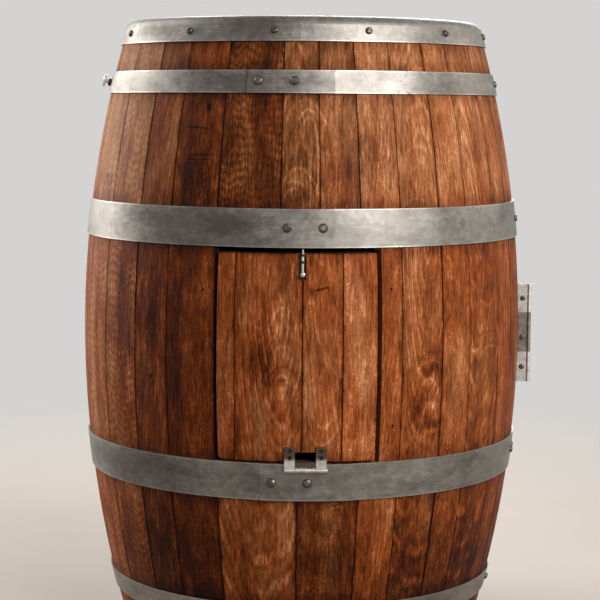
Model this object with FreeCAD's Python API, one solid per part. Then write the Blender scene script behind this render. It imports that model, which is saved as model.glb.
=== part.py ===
"""Barrel bar cabinet.

An oak cask stands on its foot and is fitted out as a drinks cabinet.  A flap in the front drops forward
on a hinge under it and is held shut by a small slide bolt.  A tall door in the side swings on a hinge
that stands out past the bulge, and carries its own sawn-out length of the lower bulge hoop.

Millimetres.  Z is up and the axis of the cask is Z, with the foot on z = 0.  The flap faces -Y.
Places round the cask are azimuths in degrees, from -Y towards +X.
"""

import math
import os

import FreeCAD
import Part

Vector = FreeCAD.Vector

# ---------------------------------------------------------------- driving dimensions
HEIGHT = 914.0
BULGE_RADIUS = 328.5
END_RADIUS = 261.5
STAVE_THICKNESS = 27.0
SEAM = 0.3
ARRIS = 0.9

# clearances: a seated piece, a running or screw fit, and the gap under a fastener's head
SEAT = 0.3
RUNNING = 0.05
HEAD_SEAT = 0.1

# stave ends
CHIME_ROUND = 9.0
FOOT_CHAMFER = 3.0
CHIME_BEVEL_DEPTH = 6.0
CHIME_BEVEL_HEIGHT = 16.0

# heads
HEAD_THICKNESS = 20.0
HEAD_TONGUE = 6.0
HEAD_RIM_BEVEL = 13.5
HEAD_SHOULDER_GAP = 1.5
CROZE_DEPTH = 6.0
CROZE_GAP = 0.5
TOP_HEAD_DROP = 38.0
FOOT_HEAD_RISE = 38.0
HEAD_BOARDS = 5

# bar top
BAR_TOP_BELOW_RIM = 1.5
BAR_TOP_RIM_GAP = 1.5
BAR_TOP_EASE = 3.0

# hoops
HOOP_THICKNESS = 2.5
HEAD_HOOP_WIDTH = 32.0
QUARTER_HOOP_WIDTH = 31.0
BULGE_HOOP_WIDTH = 52.0
QUARTER_HOOP_FROM_END = 71.5
BULGE_HOOP_FROM_END = 257.5
LAP_LENGTH = 118.0
LAP_RAMP = 22.0
LAP_MERGE = 0.5

# rivets of the laps: azimuth of the one by the free edge, and the distances along the hoop
RIVET_HEAD_RADIUS = 6.5
RIVET_HEAD_HEIGHT = 4.5
RIVET_SHANK_RADIUS = 3.0
RIVET_FROM_EDGE = 16.0
RIVET_PITCH = 48.0
UPPER_QUARTER_RIVET_AZIMUTH = -11.1
UPPER_BULGE_RIVET_AZIMUTH = 5.9
LOWER_BULGE_RIVET_AZIMUTH = -6.1
LOWER_QUARTER_RIVET_AZIMUTH = -11.1
FOOT_RIVET_AZIMUTH = 174.0

# wood screws through the hoops
HOOP_SCREW_HEAD_RADIUS = 5.0
HOOP_SCREW_HEAD_HEIGHT = 3.2
HOOP_SCREW_SHANK_RADIUS = 2.0
HOOP_SCREW_DEPTH = 15.0
BORE_REACH = 12.0
HEAD_HOOP_SCREW_DROP = 18.0
HEAD_HOOP_SCREW_AZIMUTHS = (-98, -67, -35, -7.5, 20.2, 48.6, 79.5, 112, 142, 172, 202, 239)
DOORWAY_SCREW_ANGLE = 4.0

# the flap in the front, azimuths in degrees
FLAP_LEFT_AZIMUTH = -19.9
FLAP_RIGHT_AZIMUTH = 19.4
FLAP_LEFT_GAP_ANGLE = 0.6
FLAP_RIGHT_GAP_ANGLE = 1.0
FLAP_SEAMS = (-15.3, 1.1, 10.8)
FLAP_FOOT_GAP = 2.2
FLAP_BELOW_HOOP = 7.5
LINTEL_BEHIND_HOOP = 4.0
FLAP_CORNER = 3.5
FLAP_WORN_CORNER = 9.0
FLAP_BATTEN_INSET_ANGLE = 2.9
FLAP_BATTEN_RISES = (40.0, 210.0)

# the door in the side
DOOR_HINGE_AZIMUTH = 84.0
DOOR_FAR_AZIMUTH = 138.0
DOOR_FAR_GAP_ANGLE = 0.6
DOOR_ABOVE_HOOP = 5.5
DOOR_BELOW_HOOP = 4.5
DOORWAY_CLEAR = 3.0
DOOR_SEAMS = (97.0, 110.5, 124.0)
DOOR_CORNER = 8.0
DOOR_BATTEN_INSET_ANGLE = 2.5
DOOR_BATTEN_RISES = (42.0, 232.0, 432.0)

# battens of both
BATTEN_HEIGHT = 36.0
BATTEN_THICKNESS = 18.0

# seams of the staves
FRONT_LEFT_SEAM = FLAP_LEFT_AZIMUTH - FLAP_LEFT_GAP_ANGLE
FLAPWAY_RIGHT_AZIMUTH = FLAP_RIGHT_AZIMUTH + FLAP_RIGHT_GAP_ANGLE
FRONT_RIGHT_SEAM = 15.3
LEFT_SEAMS = (-88.0, -74.3, -58.0, -44.5, -33.8, FRONT_LEFT_SEAM)
RIGHT_SEAMS = (25.8, 37.5, 47.0, 60.4, 69.8)
BACK_SEAMS = (DOOR_FAR_AZIMUTH, 158.0, 175.5, 194.5, 212.0, 231.5, 250.0, LEFT_SEAMS[0] + 360.0)
ABOVE_FLAP_SEAMS = (FRONT_LEFT_SEAM, -4.5, 5.2, FRONT_RIGHT_SEAM)
BELOW_FLAP_SEAMS = (FRONT_LEFT_SEAM, -0.2, FRONT_RIGHT_SEAM)
SHORT_DOOR_SEAMS = (98.0, 110.5, 125.0)

# hinge under the flap
FLAP_HINGE_AZIMUTH = 2.05
FLAP_HINGE_DROP = 7.7
FLAP_HINGE_WIDTH = 58.0
FLAP_HINGE_TONGUE_WIDTH = 28.0
FLAP_KNUCKLE_RADIUS = 3.25
FLAP_KNUCKLE_STAND = 0.35
FLAP_PIN_RADIUS = 1.5
FLAP_PIN_CAP = 1.2
FLAP_PIN_CAP_RIM = 0.9
FLAP_LEAF_THICKNESS = 2.0
FLAP_LEG_RISE = 21.3
FLAP_LEG_SCREW_RISES = (6.3, 16.3)
FLAP_TONGUE_REACH = 27.0
FLAP_NOTCH_RISE = 13.8
SILL_SCREW_HALF_PITCH = 8.0
KNUCKLE_GAP = 0.4

# hinge of the side door
DOOR_HINGE_STAND = 16.0
DOOR_HINGE_HEIGHT = 147.5
DOOR_HINGE_TAB = 45.0
DOOR_HINGE_TONGUE_HEIGHT = 60.0
DOOR_HINGE_BACK_BAR = 7.0
DOOR_LEAF_THICKNESS = 2.4
DOOR_KNUCKLE_RADIUS = 3.0
DOOR_PIN_RADIUS = 1.4
DOOR_PIN_SHORT = 0.5
DOOR_HINGE_SCREW_INSET = 15.0
DOOR_HINGE_SCREW_HALF_PITCH = 15.0
DOOR_LEAF_HOLE_RADIUS = 2.6
DOOR_LEAF_HOLE_INSET = 9.5
DOOR_LEAF_HOLE_DROP = 8.0

# countersunk screws of both hinges
SCREW_HEAD_RADIUS = 3.2
SCREW_HEAD_DEPTH = 1.6
SCREW_SHANK_RADIUS = 1.6
SCREW_LENGTH = 13.0

# slide bolt on the flap, heights down from the flap's head
BOLT_AZIMUTH = 1.1
BOLT_DEPTH = 3.6
BOLT_RADIUS = 2.5
BOLT_LENGTH = 32.5
BOLT_TIP_RADIUS = 1.5
BOLT_TIP_LENGTH = 6.4
BOLT_RECESS_LEFT = 7.5
BOLT_RECESS_RIGHT = 4.6
BOLT_RECESS_DROP = 36.0
BOLT_PLATE_THICKNESS = 1.2
BOLT_PLATE_HALF_WIDTH = 4.0
BOLT_PLATE_FOOT_GAP = 2.0
BOLT_PLATE_HEAD_GAP = 1.0
BOLT_RING_RADIUS = 4.0
BOLT_RING_HALF_FOOT = 2.6
BOLT_RING_HEIGHT = 3.5
BOLT_RING_DROPS = (14.0, 4.5)
BOLT_KNOB_DROP = 28.5
BOLT_KNOB_RADIUS = 3.6
BOLT_KNOB_STEM_RADIUS = 1.9
BOLT_KNOB_REACH = 12.4
KEEPER_PLAY = 1.1
KEEPER_DEPTH = 9.0

# washer-head stud on the left of the upper quarter hoop, and the matching pull on the side door
STUD_AZIMUTH = -84.0
STUD_DISC_RADIUS = 9.5
STUD_DISC_THICKNESS = 4.0
STUD_DISC_EASE = 0.8
STUD_STEM_RADIUS = 3.5
STUD_REACH = 12.5
STUD_SCREW_RADIUS = 2.0
STUD_SCREW_DEPTH = 16.0
PULL_AZIMUTH = 131.5
PULL_ABOVE_BULGE = 13.0

# shelf
SHELF_BELOW_SILL = 3.5
SHELF_THICKNESS = 18.0
SHELF_CLEAR = 5.0
SHELF_BOARDS = 3
CLEAT_AZIMUTHS = (42.0, 185.0, 292.0)
CLEAT_HALF_ANGLE = 8.0
CLEAT_HEIGHT = 30.0

# how near two places count as one when edges are picked out
MATCH = 0.01

FULL_TURN = 360.0
UP = Vector(0, 0, 1)
ORIGIN = Vector(0, 0, 0)


# ---------------------------------------------------------------- the cask's outline
def skin(height):
    """Outer radius of the wood at a height: a parabola, widest half way up."""
    share = 2 * height / HEIGHT - 1
    return BULGE_RADIUS - (BULGE_RADIUS - END_RADIUS) * share * share


def skin_slope(height):
    """Change of the outer radius for each millimetre up."""
    share = 2 * height / HEIGHT - 1
    return -4 * (BULGE_RADIUS - END_RADIUS) * share / HEIGHT


def lining(height):
    """Radius of the staves' inner face at a height."""
    return skin(height) - STAVE_THICKNESS


# ---------------------------------------------------------------- places that follow from the sizes
UPPER_BULGE_HOOP_FOOT = HEIGHT - BULGE_HOOP_FROM_END - BULGE_HOOP_WIDTH
UPPER_QUARTER_HOOP_FOOT = HEIGHT - QUARTER_HOOP_FROM_END - QUARTER_HOOP_WIDTH
LOWER_BULGE_HOOP_HEAD = BULGE_HOOP_FROM_END + BULGE_HOOP_WIDTH
LOWER_QUARTER_HOOP_HEAD = QUARTER_HOOP_FROM_END + QUARTER_HOOP_WIDTH
UPPER_QUARTER_MIDDLE = UPPER_QUARTER_HOOP_FOOT + QUARTER_HOOP_WIDTH / 2
UPPER_BULGE_MIDDLE = UPPER_BULGE_HOOP_FOOT + BULGE_HOOP_WIDTH / 2
LOWER_BULGE_MIDDLE = BULGE_HOOP_FROM_END + BULGE_HOOP_WIDTH / 2
LOWER_QUARTER_MIDDLE = QUARTER_HOOP_FROM_END + QUARTER_HOOP_WIDTH / 2
FOOT_HOOP_MIDDLE = HEAD_HOOP_WIDTH / 2

TOP_HEAD_MIDDLE = HEIGHT - TOP_HEAD_DROP - HEAD_THICKNESS / 2
FOOT_HEAD_MIDDLE = FOOT_HEAD_RISE + HEAD_THICKNESS / 2

SILL = LOWER_BULGE_HOOP_HEAD
FLAP_FOOT = SILL + FLAP_FOOT_GAP
FLAP_HEAD = UPPER_BULGE_HOOP_FOOT - FLAP_BELOW_HOOP
LINTEL = UPPER_BULGE_HOOP_FOOT + LINTEL_BEHIND_HOOP
SHELF_TOP = SILL - SHELF_BELOW_SILL
LAP_FACE = skin(SILL) + SEAT + 2 * HOOP_THICKNESS + SEAT

FLAP_HINGE_HEIGHT = SILL - FLAP_HINGE_DROP
FLAP_HINGE_RADIUS = (
    skin(FLAP_HINGE_HEIGHT) + SEAT + 2 * HOOP_THICKNESS + FLAP_KNUCKLE_STAND + FLAP_KNUCKLE_RADIUS
)
FLAP_LEG_TOP = FLAP_FOOT + FLAP_LEG_RISE

DOOR_FOOT = LOWER_QUARTER_HOOP_HEAD + DOOR_ABOVE_HOOP
DOOR_HEAD = UPPER_BULGE_HOOP_FOOT - DOOR_BELOW_HOOP
DOOR_HINGE_INNER_RADIUS = BULGE_RADIUS - STAVE_THICKNESS
DOOR_HINGE_RADIUS = BULGE_RADIUS + DOOR_HINGE_STAND
DOOR_HINGE_WINDOW_RADIUS = DOOR_HINGE_INNER_RADIUS + DOOR_HINGE_BACK_BAR
DOOR_HINGE_FOOT = HEIGHT / 2 - DOOR_HINGE_HEIGHT / 2
DOOR_HINGE_HEAD = HEIGHT / 2 + DOOR_HINGE_HEIGHT / 2
DOOR_TONGUE_FOOT = DOOR_HINGE_FOOT + DOOR_HINGE_TAB
DOOR_TONGUE_HEAD = DOOR_TONGUE_FOOT + DOOR_HINGE_TONGUE_HEIGHT
DOOR_GAP_HALF_ANGLE = math.degrees((DOOR_LEAF_THICKNESS / 2 + SEAT) / DOOR_HINGE_INNER_RADIUS)
JAMB_EDGE = DOOR_HINGE_AZIMUTH - DOOR_GAP_HALF_ANGLE
DOOR_START = DOOR_HINGE_AZIMUTH + DOOR_GAP_HALF_ANGLE
DOOR_END = DOOR_FAR_AZIMUTH - DOOR_FAR_GAP_ANGLE

BOLT_AXIS_RADIUS = skin(FLAP_HEAD) - BOLT_DEPTH
BOLT_PLATE_BACK = BOLT_AXIS_RADIUS - BOLT_RING_RADIUS - BOLT_PLATE_THICKNESS


# ---------------------------------------------------------------- drawing helpers
def at(radius, height):
    """Point in the plane that looks out along -Y, where every profile is drawn."""
    return Vector(0, -radius, height)


def place(radius, azimuth, height):
    """Point at a radius, an azimuth and a height."""
    angle = math.radians(azimuth)
    return Vector(radius * math.sin(angle), -radius * math.cos(angle), height)


def meridian(low, high, offset):
    """Edge that runs along the bulge from one height to another, offset outwards from the skin."""
    middle = skin(low) + skin_slope(low) * (high - low) / 2 + offset
    curve = Part.BezierCurve()
    curve.setPoles([at(skin(low) + offset, low), at(middle, (low + high) / 2), at(skin(high) + offset, high)])
    return curve.toShape()


def line(first, second):
    return Part.makeLine(first, second)


def chain(points):
    """Straight edges from point to point."""
    return [line(a, b) for a, b in zip(points, points[1:])]


def face_of(edges):
    return Part.Face(Part.Wire(edges))


def curved_band(low, high, inner, outer):
    """Flat profile between two offsets from the skin and two heights."""
    return face_of([
        meridian(low, high, outer),
        line(at(skin(high) + outer, high), at(skin(high) + inner, high)),
        meridian(low, high, inner),
        line(at(skin(low) + inner, low), at(skin(low) + outer, low)),
    ])


def sweep_round(profile, start, end):
    """Turn a profile about the cask's axis from one azimuth to another."""
    solid = profile.revolve(ORIGIN, UP, end - start)
    solid.rotate(ORIGIN, UP, start)
    return solid


def turned(points):
    """Solid turned about +Z from the outline that radius and height points give."""
    outline = [Vector(radius, 0, height) for radius, height in (*points, points[0])]
    return face_of(chain(outline)).revolve(ORIGIN, UP, FULL_TURN)


def turned_to(shape, azimuth):
    """A copy of a shape drawn at azimuth 0, carried round to its azimuth."""
    copy = shape.copy()
    copy.rotate(ORIGIN, UP, azimuth)
    return copy


def box(x_low, x_high, radius_low, radius_high, low, high):
    """Block at azimuth 0 between two sideways places, two depths and two heights."""
    corner = Vector(x_low, -radius_high, low)
    return Part.makeBox(x_high - x_low, radius_high - radius_low, high - low, corner)


def rod(start, end, radius):
    along = end.sub(start)
    return Part.makeCylinder(radius, along.Length, start, along)


def fuse(shapes):
    whole = shapes[0]
    for shape in shapes[1:]:
        whole = whole.fuse(shape)
    return whole.removeSplitter()


def group(solids):
    return Part.makeCompound(solids)


# ---------------------------------------------------------------- staves
def chime_middle(offset):
    """Middle point of the round over the stave's upper end, offset outwards from it."""
    corner = CHIME_ROUND * (1 - math.sqrt(0.5))
    reach = offset * math.sqrt(0.5)
    return at(skin(HEIGHT) - corner + reach, HEIGHT - corner + reach)


def chime_round():
    """Ring cut off outside the staves' upper ends, which rounds them over."""
    low, above = HEIGHT - CHIME_ROUND, HEIGHT + SEAT
    start, end = at(skin(low), low), at(skin(HEIGHT) - CHIME_ROUND, HEIGHT)
    outer = skin(low) + CHIME_ROUND
    edges = [Part.Arc(start, chime_middle(0), end).toShape()]
    edges += chain([end, at(skin(HEIGHT) - CHIME_ROUND, above), at(outer, above), at(outer, low), start])
    return face_of(edges).revolve(ORIGIN, UP, FULL_TURN)


def foot_chamfer():
    """Ring cut off outside the staves' feet."""
    face, inner, outer = skin(FOOT_CHAMFER), skin(0) - FOOT_CHAMFER, skin(0) + STAVE_THICKNESS
    return turned([(face, FOOT_CHAMFER), (inner, 0), (inner, -SEAT), (outer, -SEAT), (outer, FOOT_CHAMFER)])


def chime_bevel(end, way):
    """Ring cut off inside the staves' ends: their heads where way is 1, and their feet where it is -1."""
    start, beyond = end - way * CHIME_BEVEL_HEIGHT, end + way * SEAT
    edge, inner = lining(end) + CHIME_BEVEL_DEPTH, lining(end) - STAVE_THICKNESS
    return turned([(lining(start), start), (edge, end), (edge, beyond), (inner, beyond), (inner, start)])


def croze(middle):
    """Ring cut inside the staves, the groove that holds a head."""
    half = HEAD_TONGUE / 2 + SEAT
    inner, back = lining(middle) - STAVE_THICKNESS, lining(middle) + CROZE_DEPTH
    low, high = middle - half, middle + half
    return turned([(inner, low), (back, low), (back, high), (inner, high)])


def stave(low, high, start, end):
    """One stave between two seams, its outer arrises taken off and its ends finished."""
    play = math.degrees(SEAM / 2 / BULGE_RADIUS)
    solid = sweep_round(curved_band(low, high, -STAVE_THICKNESS, 0), start + play, end - play)
    long_edges = []
    for edge in solid.Edges:
        ends = [vertex.Point for vertex in edge.Vertexes]
        if len(ends) < 2 or abs(ends[0].z - ends[1].z) < STAVE_THICKNESS / 2:
            continue
        if all(abs(math.hypot(p.x, p.y) - skin(p.z)) < MATCH for p in ends):
            long_edges.append(edge)
    solid = solid.makeChamfer(ARRIS, long_edges)
    cutters = []
    if high == HEIGHT:
        cutters += [chime_round(), chime_bevel(HEIGHT, 1), croze(TOP_HEAD_MIDDLE)]
    if low == 0:
        cutters += [foot_chamfer(), chime_bevel(0, -1), croze(FOOT_HEAD_MIDDLE)]
    for cutter in cutters:
        solid = solid.cut(cutter)
    return solid


def flapway():
    """Room for the flap, cut from the stave that the flap's right edge runs along."""
    over = STAVE_THICKNESS / 5
    profile = curved_band(SILL, LINTEL, -STAVE_THICKNESS - over, over)
    return sweep_round(profile, FRONT_LEFT_SEAM, FLAPWAY_RIGHT_AZIMUTH)


def neighbours(seams):
    """Each seam with the next one."""
    return list(zip(seams, seams[1:]))


def stave_spans():
    """The two seams of each stave that runs from end to end, by the stave's name."""
    spans = neighbours(LEFT_SEAMS)
    spans += [(FRONT_RIGHT_SEAM, RIGHT_SEAMS[0])]
    spans += neighbours((*RIGHT_SEAMS, JAMB_EDGE))
    spans += neighbours(BACK_SEAMS)
    return {f"stave_{number:02d}": span for number, span in enumerate(spans, 1)}


def short_staves(low, high, seams):
    return group([stave(low, high, start, end) for start, end in neighbours(seams)])


# ---------------------------------------------------------------- heads, bar top and shelf
def boards(disc, radius, low, high, count):
    """Cut a disc into boards that lie side by side along Y."""
    pitch = 2 * radius / count
    cut = []
    for number in range(count):
        left = -radius + number * pitch + SEAM / 2
        slab = Part.makeBox(pitch - SEAM, 2 * radius, high - low, Vector(left, -radius, low))
        cut.append(disc.common(slab))
    return group([solid for piece in cut for solid in piece.Solids])


def head(middle):
    """A cask head: boards with a bevelled rim that ends in the tongue for the groove."""
    low, high = middle - HEAD_THICKNESS / 2, middle + HEAD_THICKNESS / 2
    face_radius = lining(middle) - HEAD_RIM_BEVEL
    tongue_radius = lining(middle) - HEAD_SHOULDER_GAP
    rim = lining(middle) + CROZE_DEPTH - CROZE_GAP
    half = HEAD_TONGUE / 2
    disc = turned([
        (0, low), (face_radius, low), (tongue_radius, middle - half), (rim, middle - half),
        (rim, middle + half), (tongue_radius, middle + half), (face_radius, high), (0, high),
    ])
    return boards(disc, rim, low, high, HEAD_BOARDS)


def bar_top():
    """Boards that lie on the upper head and fill the cask's rim, with a soft upper edge."""
    low, high = HEIGHT - TOP_HEAD_DROP + SEAT, HEIGHT - BAR_TOP_BELOW_RIM
    radius = lining(HEIGHT - CHIME_BEVEL_HEIGHT) - BAR_TOP_RIM_GAP
    ease = BAR_TOP_EASE
    disc = turned([(0, low), (radius, low), (radius, high - ease), (radius - ease, high), (0, high)])
    return boards(disc, radius, low, high, HEAD_BOARDS)


def shelf():
    """Boards that lie on the cleats, level with the sill of the flap."""
    low = SHELF_TOP - SHELF_THICKNESS
    radius = lining(low) - SHELF_CLEAR
    disc = Part.makeCylinder(radius, SHELF_THICKNESS, Vector(0, 0, low))
    return boards(disc, radius, low, SHELF_TOP, SHELF_BOARDS)


def lining_block(low, high, start, end):
    """Curved block against the staves' inner face."""
    outer = -STAVE_THICKNESS - SEAT
    return sweep_round(curved_band(low, high, outer - BATTEN_THICKNESS, outer), start, end)


def cleats():
    """Blocks on the staves that carry the shelf."""
    high = SHELF_TOP - SHELF_THICKNESS - SEAT
    half = CLEAT_HALF_ANGLE
    return group([lining_block(high - CLEAT_HEIGHT, high, a - half, a + half) for a in CLEAT_AZIMUTHS])


def battens(door_foot, rises, start, end):
    """Curved battens across the back of a door's staves."""
    foots = [door_foot + rise for rise in rises]
    return group([lining_block(foot, foot + BATTEN_HEIGHT, start, end) for foot in foots])


# ---------------------------------------------------------------- hoops
def hoop_span(length, height):
    """Angle that a length along a hoop takes at a height."""
    return math.degrees(length / skin(height))


def lap_rivets(first, side, height):
    """Azimuths and heights of a lap's two rivets."""
    return [(first, height), (first + side * hoop_span(RIVET_PITCH, height), height)]


def lap(low, high, first_rivet, side):
    """The outer end of a hoop's strip, laid over the inner one and let down to the skin by a ramp.

    side is 1 where the strip runs back towards +azimuth from its free edge, and -1 the other way.
    """
    middle = (low + high) / 2
    inner = SEAT + HOOP_THICKNESS - LAP_MERGE
    outer = SEAT + 2 * HOOP_THICKNESS
    free_edge = first_rivet - side * hoop_span(RIVET_FROM_EDGE, middle)
    far = free_edge + side * hoop_span(LAP_LENGTH, middle)
    over = sweep_round(curved_band(low, high, inner, outer), min(free_edge, far), max(free_edge, far))
    ramp_end = far + side * hoop_span(LAP_RAMP, middle)
    wedge = sweep_round(curved_band(low, high, inner, outer), min(far, ramp_end), max(far, ramp_end))
    top_point = place(skin(high) + outer, far, high)
    foot_point = place(skin(low) + outer, far, low)
    end_point = place(skin(middle) + SEAT + HOOP_THICKNESS, ramp_end, middle)
    normal = foot_point.sub(top_point).cross(end_point.sub(top_point))
    if normal.dot(place(1, far, 0)) < 0:
        normal = normal.negative()
    reach = LAP_LENGTH
    shave = Part.makeBox(2 * reach, 2 * reach, reach, Vector(-reach, -reach, 0))
    shave.Placement = FreeCAD.Placement(top_point, FreeCAD.Rotation(UP, normal)).multiply(shave.Placement)
    return [over, wedge.cut(shave)]


def rivet(azimuth, height):
    """Button-headed rivet through both thicknesses of a lap."""
    seat = SEAT + 2 * HOOP_THICKNESS + HEAD_SEAT
    r, h = RIVET_HEAD_RADIUS, RIVET_HEAD_HEIGHT
    solid = turned([(0, 0), (r, 0), (r * 0.88, h * 0.45), (r * 0.5, h), (0, h)])
    shank = Part.makeCylinder(RIVET_SHANK_RADIUS, seat, Vector(0, 0, SEAT - seat))
    return set_square(solid.fuse(shank).removeSplitter(), azimuth, height, seat)


def set_square(shape, azimuth, height, stand=0.0):
    """Carry a shape drawn about +Z to the skin, square to the bulge there and standing off it."""
    tilt = math.degrees(math.atan(skin_slope(height)))
    copy = shape.copy()
    copy.translate(Vector(0, 0, stand))
    copy.rotate(ORIGIN, Vector(1, 0, 0), 90 + tilt)
    copy.translate(at(skin(height), height))
    copy.rotate(ORIGIN, UP, azimuth)
    return copy


def hole(radius, azimuth, height):
    """Cutter for a screw's or rivet's hole square to the bulge."""
    inwards = max(HOOP_SCREW_DEPTH, STUD_SCREW_DEPTH) + SEAT
    cylinder = Part.makeCylinder(radius, BORE_REACH + inwards, Vector(0, 0, -inwards))
    return set_square(cylinder, azimuth, height)


def hoop_screw(azimuth, height):
    """Round-headed wood screw through a hoop into a stave."""
    seat = SEAT + HOOP_THICKNESS + HEAD_SEAT
    r, h = HOOP_SCREW_HEAD_RADIUS, HOOP_SCREW_HEAD_HEIGHT
    solid = turned([(0, 0), (r, 0), (r * 0.85, h * 0.55), (r * 0.4, h), (0, h)])
    length = HOOP_SCREW_DEPTH + seat
    shank = Part.makeCylinder(HOOP_SCREW_SHANK_RADIUS, length, Vector(0, 0, -length))
    return set_square(solid.fuse(shank).removeSplitter(), azimuth, height, seat)


def head_hoop():
    """Top hoop, with its upper edge beaten in over the round of the stave ends."""
    low = HEIGHT - HEAD_HOOP_WIDTH
    high = HEIGHT - CHIME_ROUND
    near, far = SEAT, SEAT + HOOP_THICKNESS
    end = skin(HEIGHT) - CHIME_ROUND
    edges = [
        meridian(low, high, far),
        Part.Arc(at(skin(high) + far, high), chime_middle(far), at(end, HEIGHT + far)).toShape(),
        line(at(end, HEIGHT + far), at(end, HEIGHT + near)),
        Part.Arc(at(end, HEIGHT + near), chime_middle(near), at(skin(high) + near, high)).toShape(),
        meridian(low, high, near),
        line(at(skin(low) + near, low), at(skin(low) + far, low)),
    ]
    profile = Part.Face(Part.Wire(Part.sortEdges(edges)[0]))
    return profile.revolve(ORIGIN, UP, FULL_TURN)


def plain_hoop(low, high, start=0.0, end=FULL_TURN):
    return sweep_round(curved_band(low, high, SEAT, SEAT + HOOP_THICKNESS), start, end)


def lapped_hoop(low, high, first_rivet, side, start=0.0, end=FULL_TURN):
    """Hoop whose ends overlap, with the holes of the two rivets that join them."""
    hoop = fuse([plain_hoop(low, high, start, end), *lap(low, high, first_rivet, side)])
    return holes_cut(hoop, lap_rivets(first_rivet, side, (low + high) / 2), RIVET_SHANK_RADIUS + RUNNING)


# ---------------------------------------------------------------- hinges
def countersunk(length, play=0.0):
    """Countersunk screw along -Z with its head flush at the origin, or the room for it."""
    top = SCREW_HEAD_RADIUS + play
    shank = SCREW_SHANK_RADIUS + play
    cone = Part.makeCone(shank, top, SCREW_HEAD_DEPTH, Vector(0, 0, -SCREW_HEAD_DEPTH))
    body = Part.makeCylinder(shank, length, Vector(0, 0, -length - play))
    return cone.fuse(body).removeSplitter()


def aim(shape, position, direction):
    """Carry a shape drawn along +Z to a place, pointing along a direction."""
    copy = shape.copy()
    copy.Placement = FreeCAD.Placement(position, FreeCAD.Rotation(UP, direction))
    return copy


def plate(points, x_low, x_high):
    """Outline in depth and height, drawn out sideways into a plate."""
    profile = face_of(chain([at(r, z) for r, z in points + points[:1]]))
    profile.translate(Vector(x_low, 0, 0))
    return profile.extrude(Vector(x_high - x_low, 0, 0))


def flap_knuckle(x_low, x_high):
    axis = at(FLAP_HINGE_RADIUS, FLAP_HINGE_HEIGHT)
    return rod(axis.add(Vector(x_low, 0, 0)), axis.add(Vector(x_high, 0, 0)), FLAP_KNUCKLE_RADIUS)


def flap_pin_room(radius):
    axis = at(FLAP_HINGE_RADIUS, FLAP_HINGE_HEIGHT)
    reach = Vector(FLAP_HINGE_WIDTH, 0, 0)
    return rod(axis.sub(reach), axis.add(reach), radius)


def flap_leg_screws():
    """Where the legs' screws sit: sideways place, height and the leg's face there."""
    middle = (FLAP_HINGE_WIDTH + FLAP_HINGE_TONGUE_WIDTH) / 4
    places = []
    for x in (-middle, middle):
        for rise in FLAP_LEG_SCREW_RISES:
            places.append(Vector(x, -leg_face(FLAP_FOOT + rise), FLAP_FOOT + rise))
    return places


def leg_slope():
    """Slope of the legs, which lie on the skin at their feet and at their tops."""
    return (skin(FLAP_LEG_TOP) - skin(FLAP_FOOT)) / FLAP_LEG_RISE


def leg_face(height):
    """Radius of the outer face of the hinge's legs where they lie on the flap."""
    return skin(FLAP_FOOT) + SEAT + FLAP_LEAF_THICKNESS + leg_slope() * (height - FLAP_FOOT)


def leg_normal():
    """Direction that the legs' faces look along."""
    return Vector(0, -1, -leg_slope()).normalize()


def flap_moving_leaf():
    """Two legs on the flap, cranked over the hoop's edge to their knuckles."""
    thickness = FLAP_LEAF_THICKNESS
    back_foot = skin(FLAP_FOOT) + SEAT
    back_top = leg_face(FLAP_LEG_TOP) - thickness
    knuckle_top = FLAP_HINGE_HEIGHT + FLAP_KNUCKLE_RADIUS
    outer = FLAP_HINGE_RADIUS + FLAP_KNUCKLE_RADIUS - SEAT
    crank = FLAP_FOOT + 1.5 * thickness
    outline = [
        (back_foot, FLAP_FOOT + SEAT), (back_top, FLAP_LEG_TOP), (back_top + thickness, FLAP_LEG_TOP),
        (leg_face(crank), crank), (outer, knuckle_top + thickness / 2), (outer, FLAP_HINGE_HEIGHT),
        (LAP_FACE + SEAT, FLAP_HINGE_HEIGHT), (LAP_FACE, knuckle_top), (LAP_FACE, FLAP_FOOT - SEAT),
    ]
    legs = []
    inner, side = FLAP_HINGE_TONGUE_WIDTH / 2 + KNUCKLE_GAP, FLAP_HINGE_WIDTH / 2
    for low, high in ((-side, -inner), (inner, side)):
        legs.append(plate(outline, low, high).fuse(flap_knuckle(low, high)))
    leaf = group([leg.cut(flap_pin_room(FLAP_PIN_RADIUS + RUNNING)).removeSplitter() for leg in legs])
    for spot in flap_leg_screws():
        leaf = leaf.cut(aim(countersunk(SCREW_LENGTH, RUNNING), spot, leg_normal()))
    return leaf


def flap_fixed_leaf():
    """Tongue that stands on the hoop's face, bends in over its edge and lies on the sill."""
    under = SILL + SEAT
    top = under + FLAP_LEAF_THICKNESS
    inner = LAP_FACE - FLAP_TONGUE_REACH
    outer = LAP_FACE + 1.75 * FLAP_LEAF_THICKNESS
    outline = [
        (inner, under), (inner, top), (outer - FLAP_LEAF_THICKNESS, top), (outer, under),
        (outer, FLAP_HINGE_HEIGHT), (LAP_FACE + SEAT, FLAP_HINGE_HEIGHT), (LAP_FACE, under),
    ]
    half = FLAP_HINGE_TONGUE_WIDTH / 2
    leaf = plate(outline, -half + KNUCKLE_GAP / 2, half - KNUCKLE_GAP / 2)
    leaf = leaf.fuse(flap_knuckle(-half, half)).removeSplitter().cut(flap_pin_room(FLAP_PIN_RADIUS + RUNNING))
    for spot in sill_screws():
        leaf = leaf.cut(aim(countersunk(SCREW_LENGTH, RUNNING), spot, UP))
    return leaf


def sill_screws():
    """Where the tongue is screwed down to the sill."""
    top = SILL + SEAT + FLAP_LEAF_THICKNESS
    depth = skin(SILL) - STAVE_THICKNESS / 2
    return [Vector(x, -depth, top) for x in (-SILL_SCREW_HALF_PITCH, SILL_SCREW_HALF_PITCH)]


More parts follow.
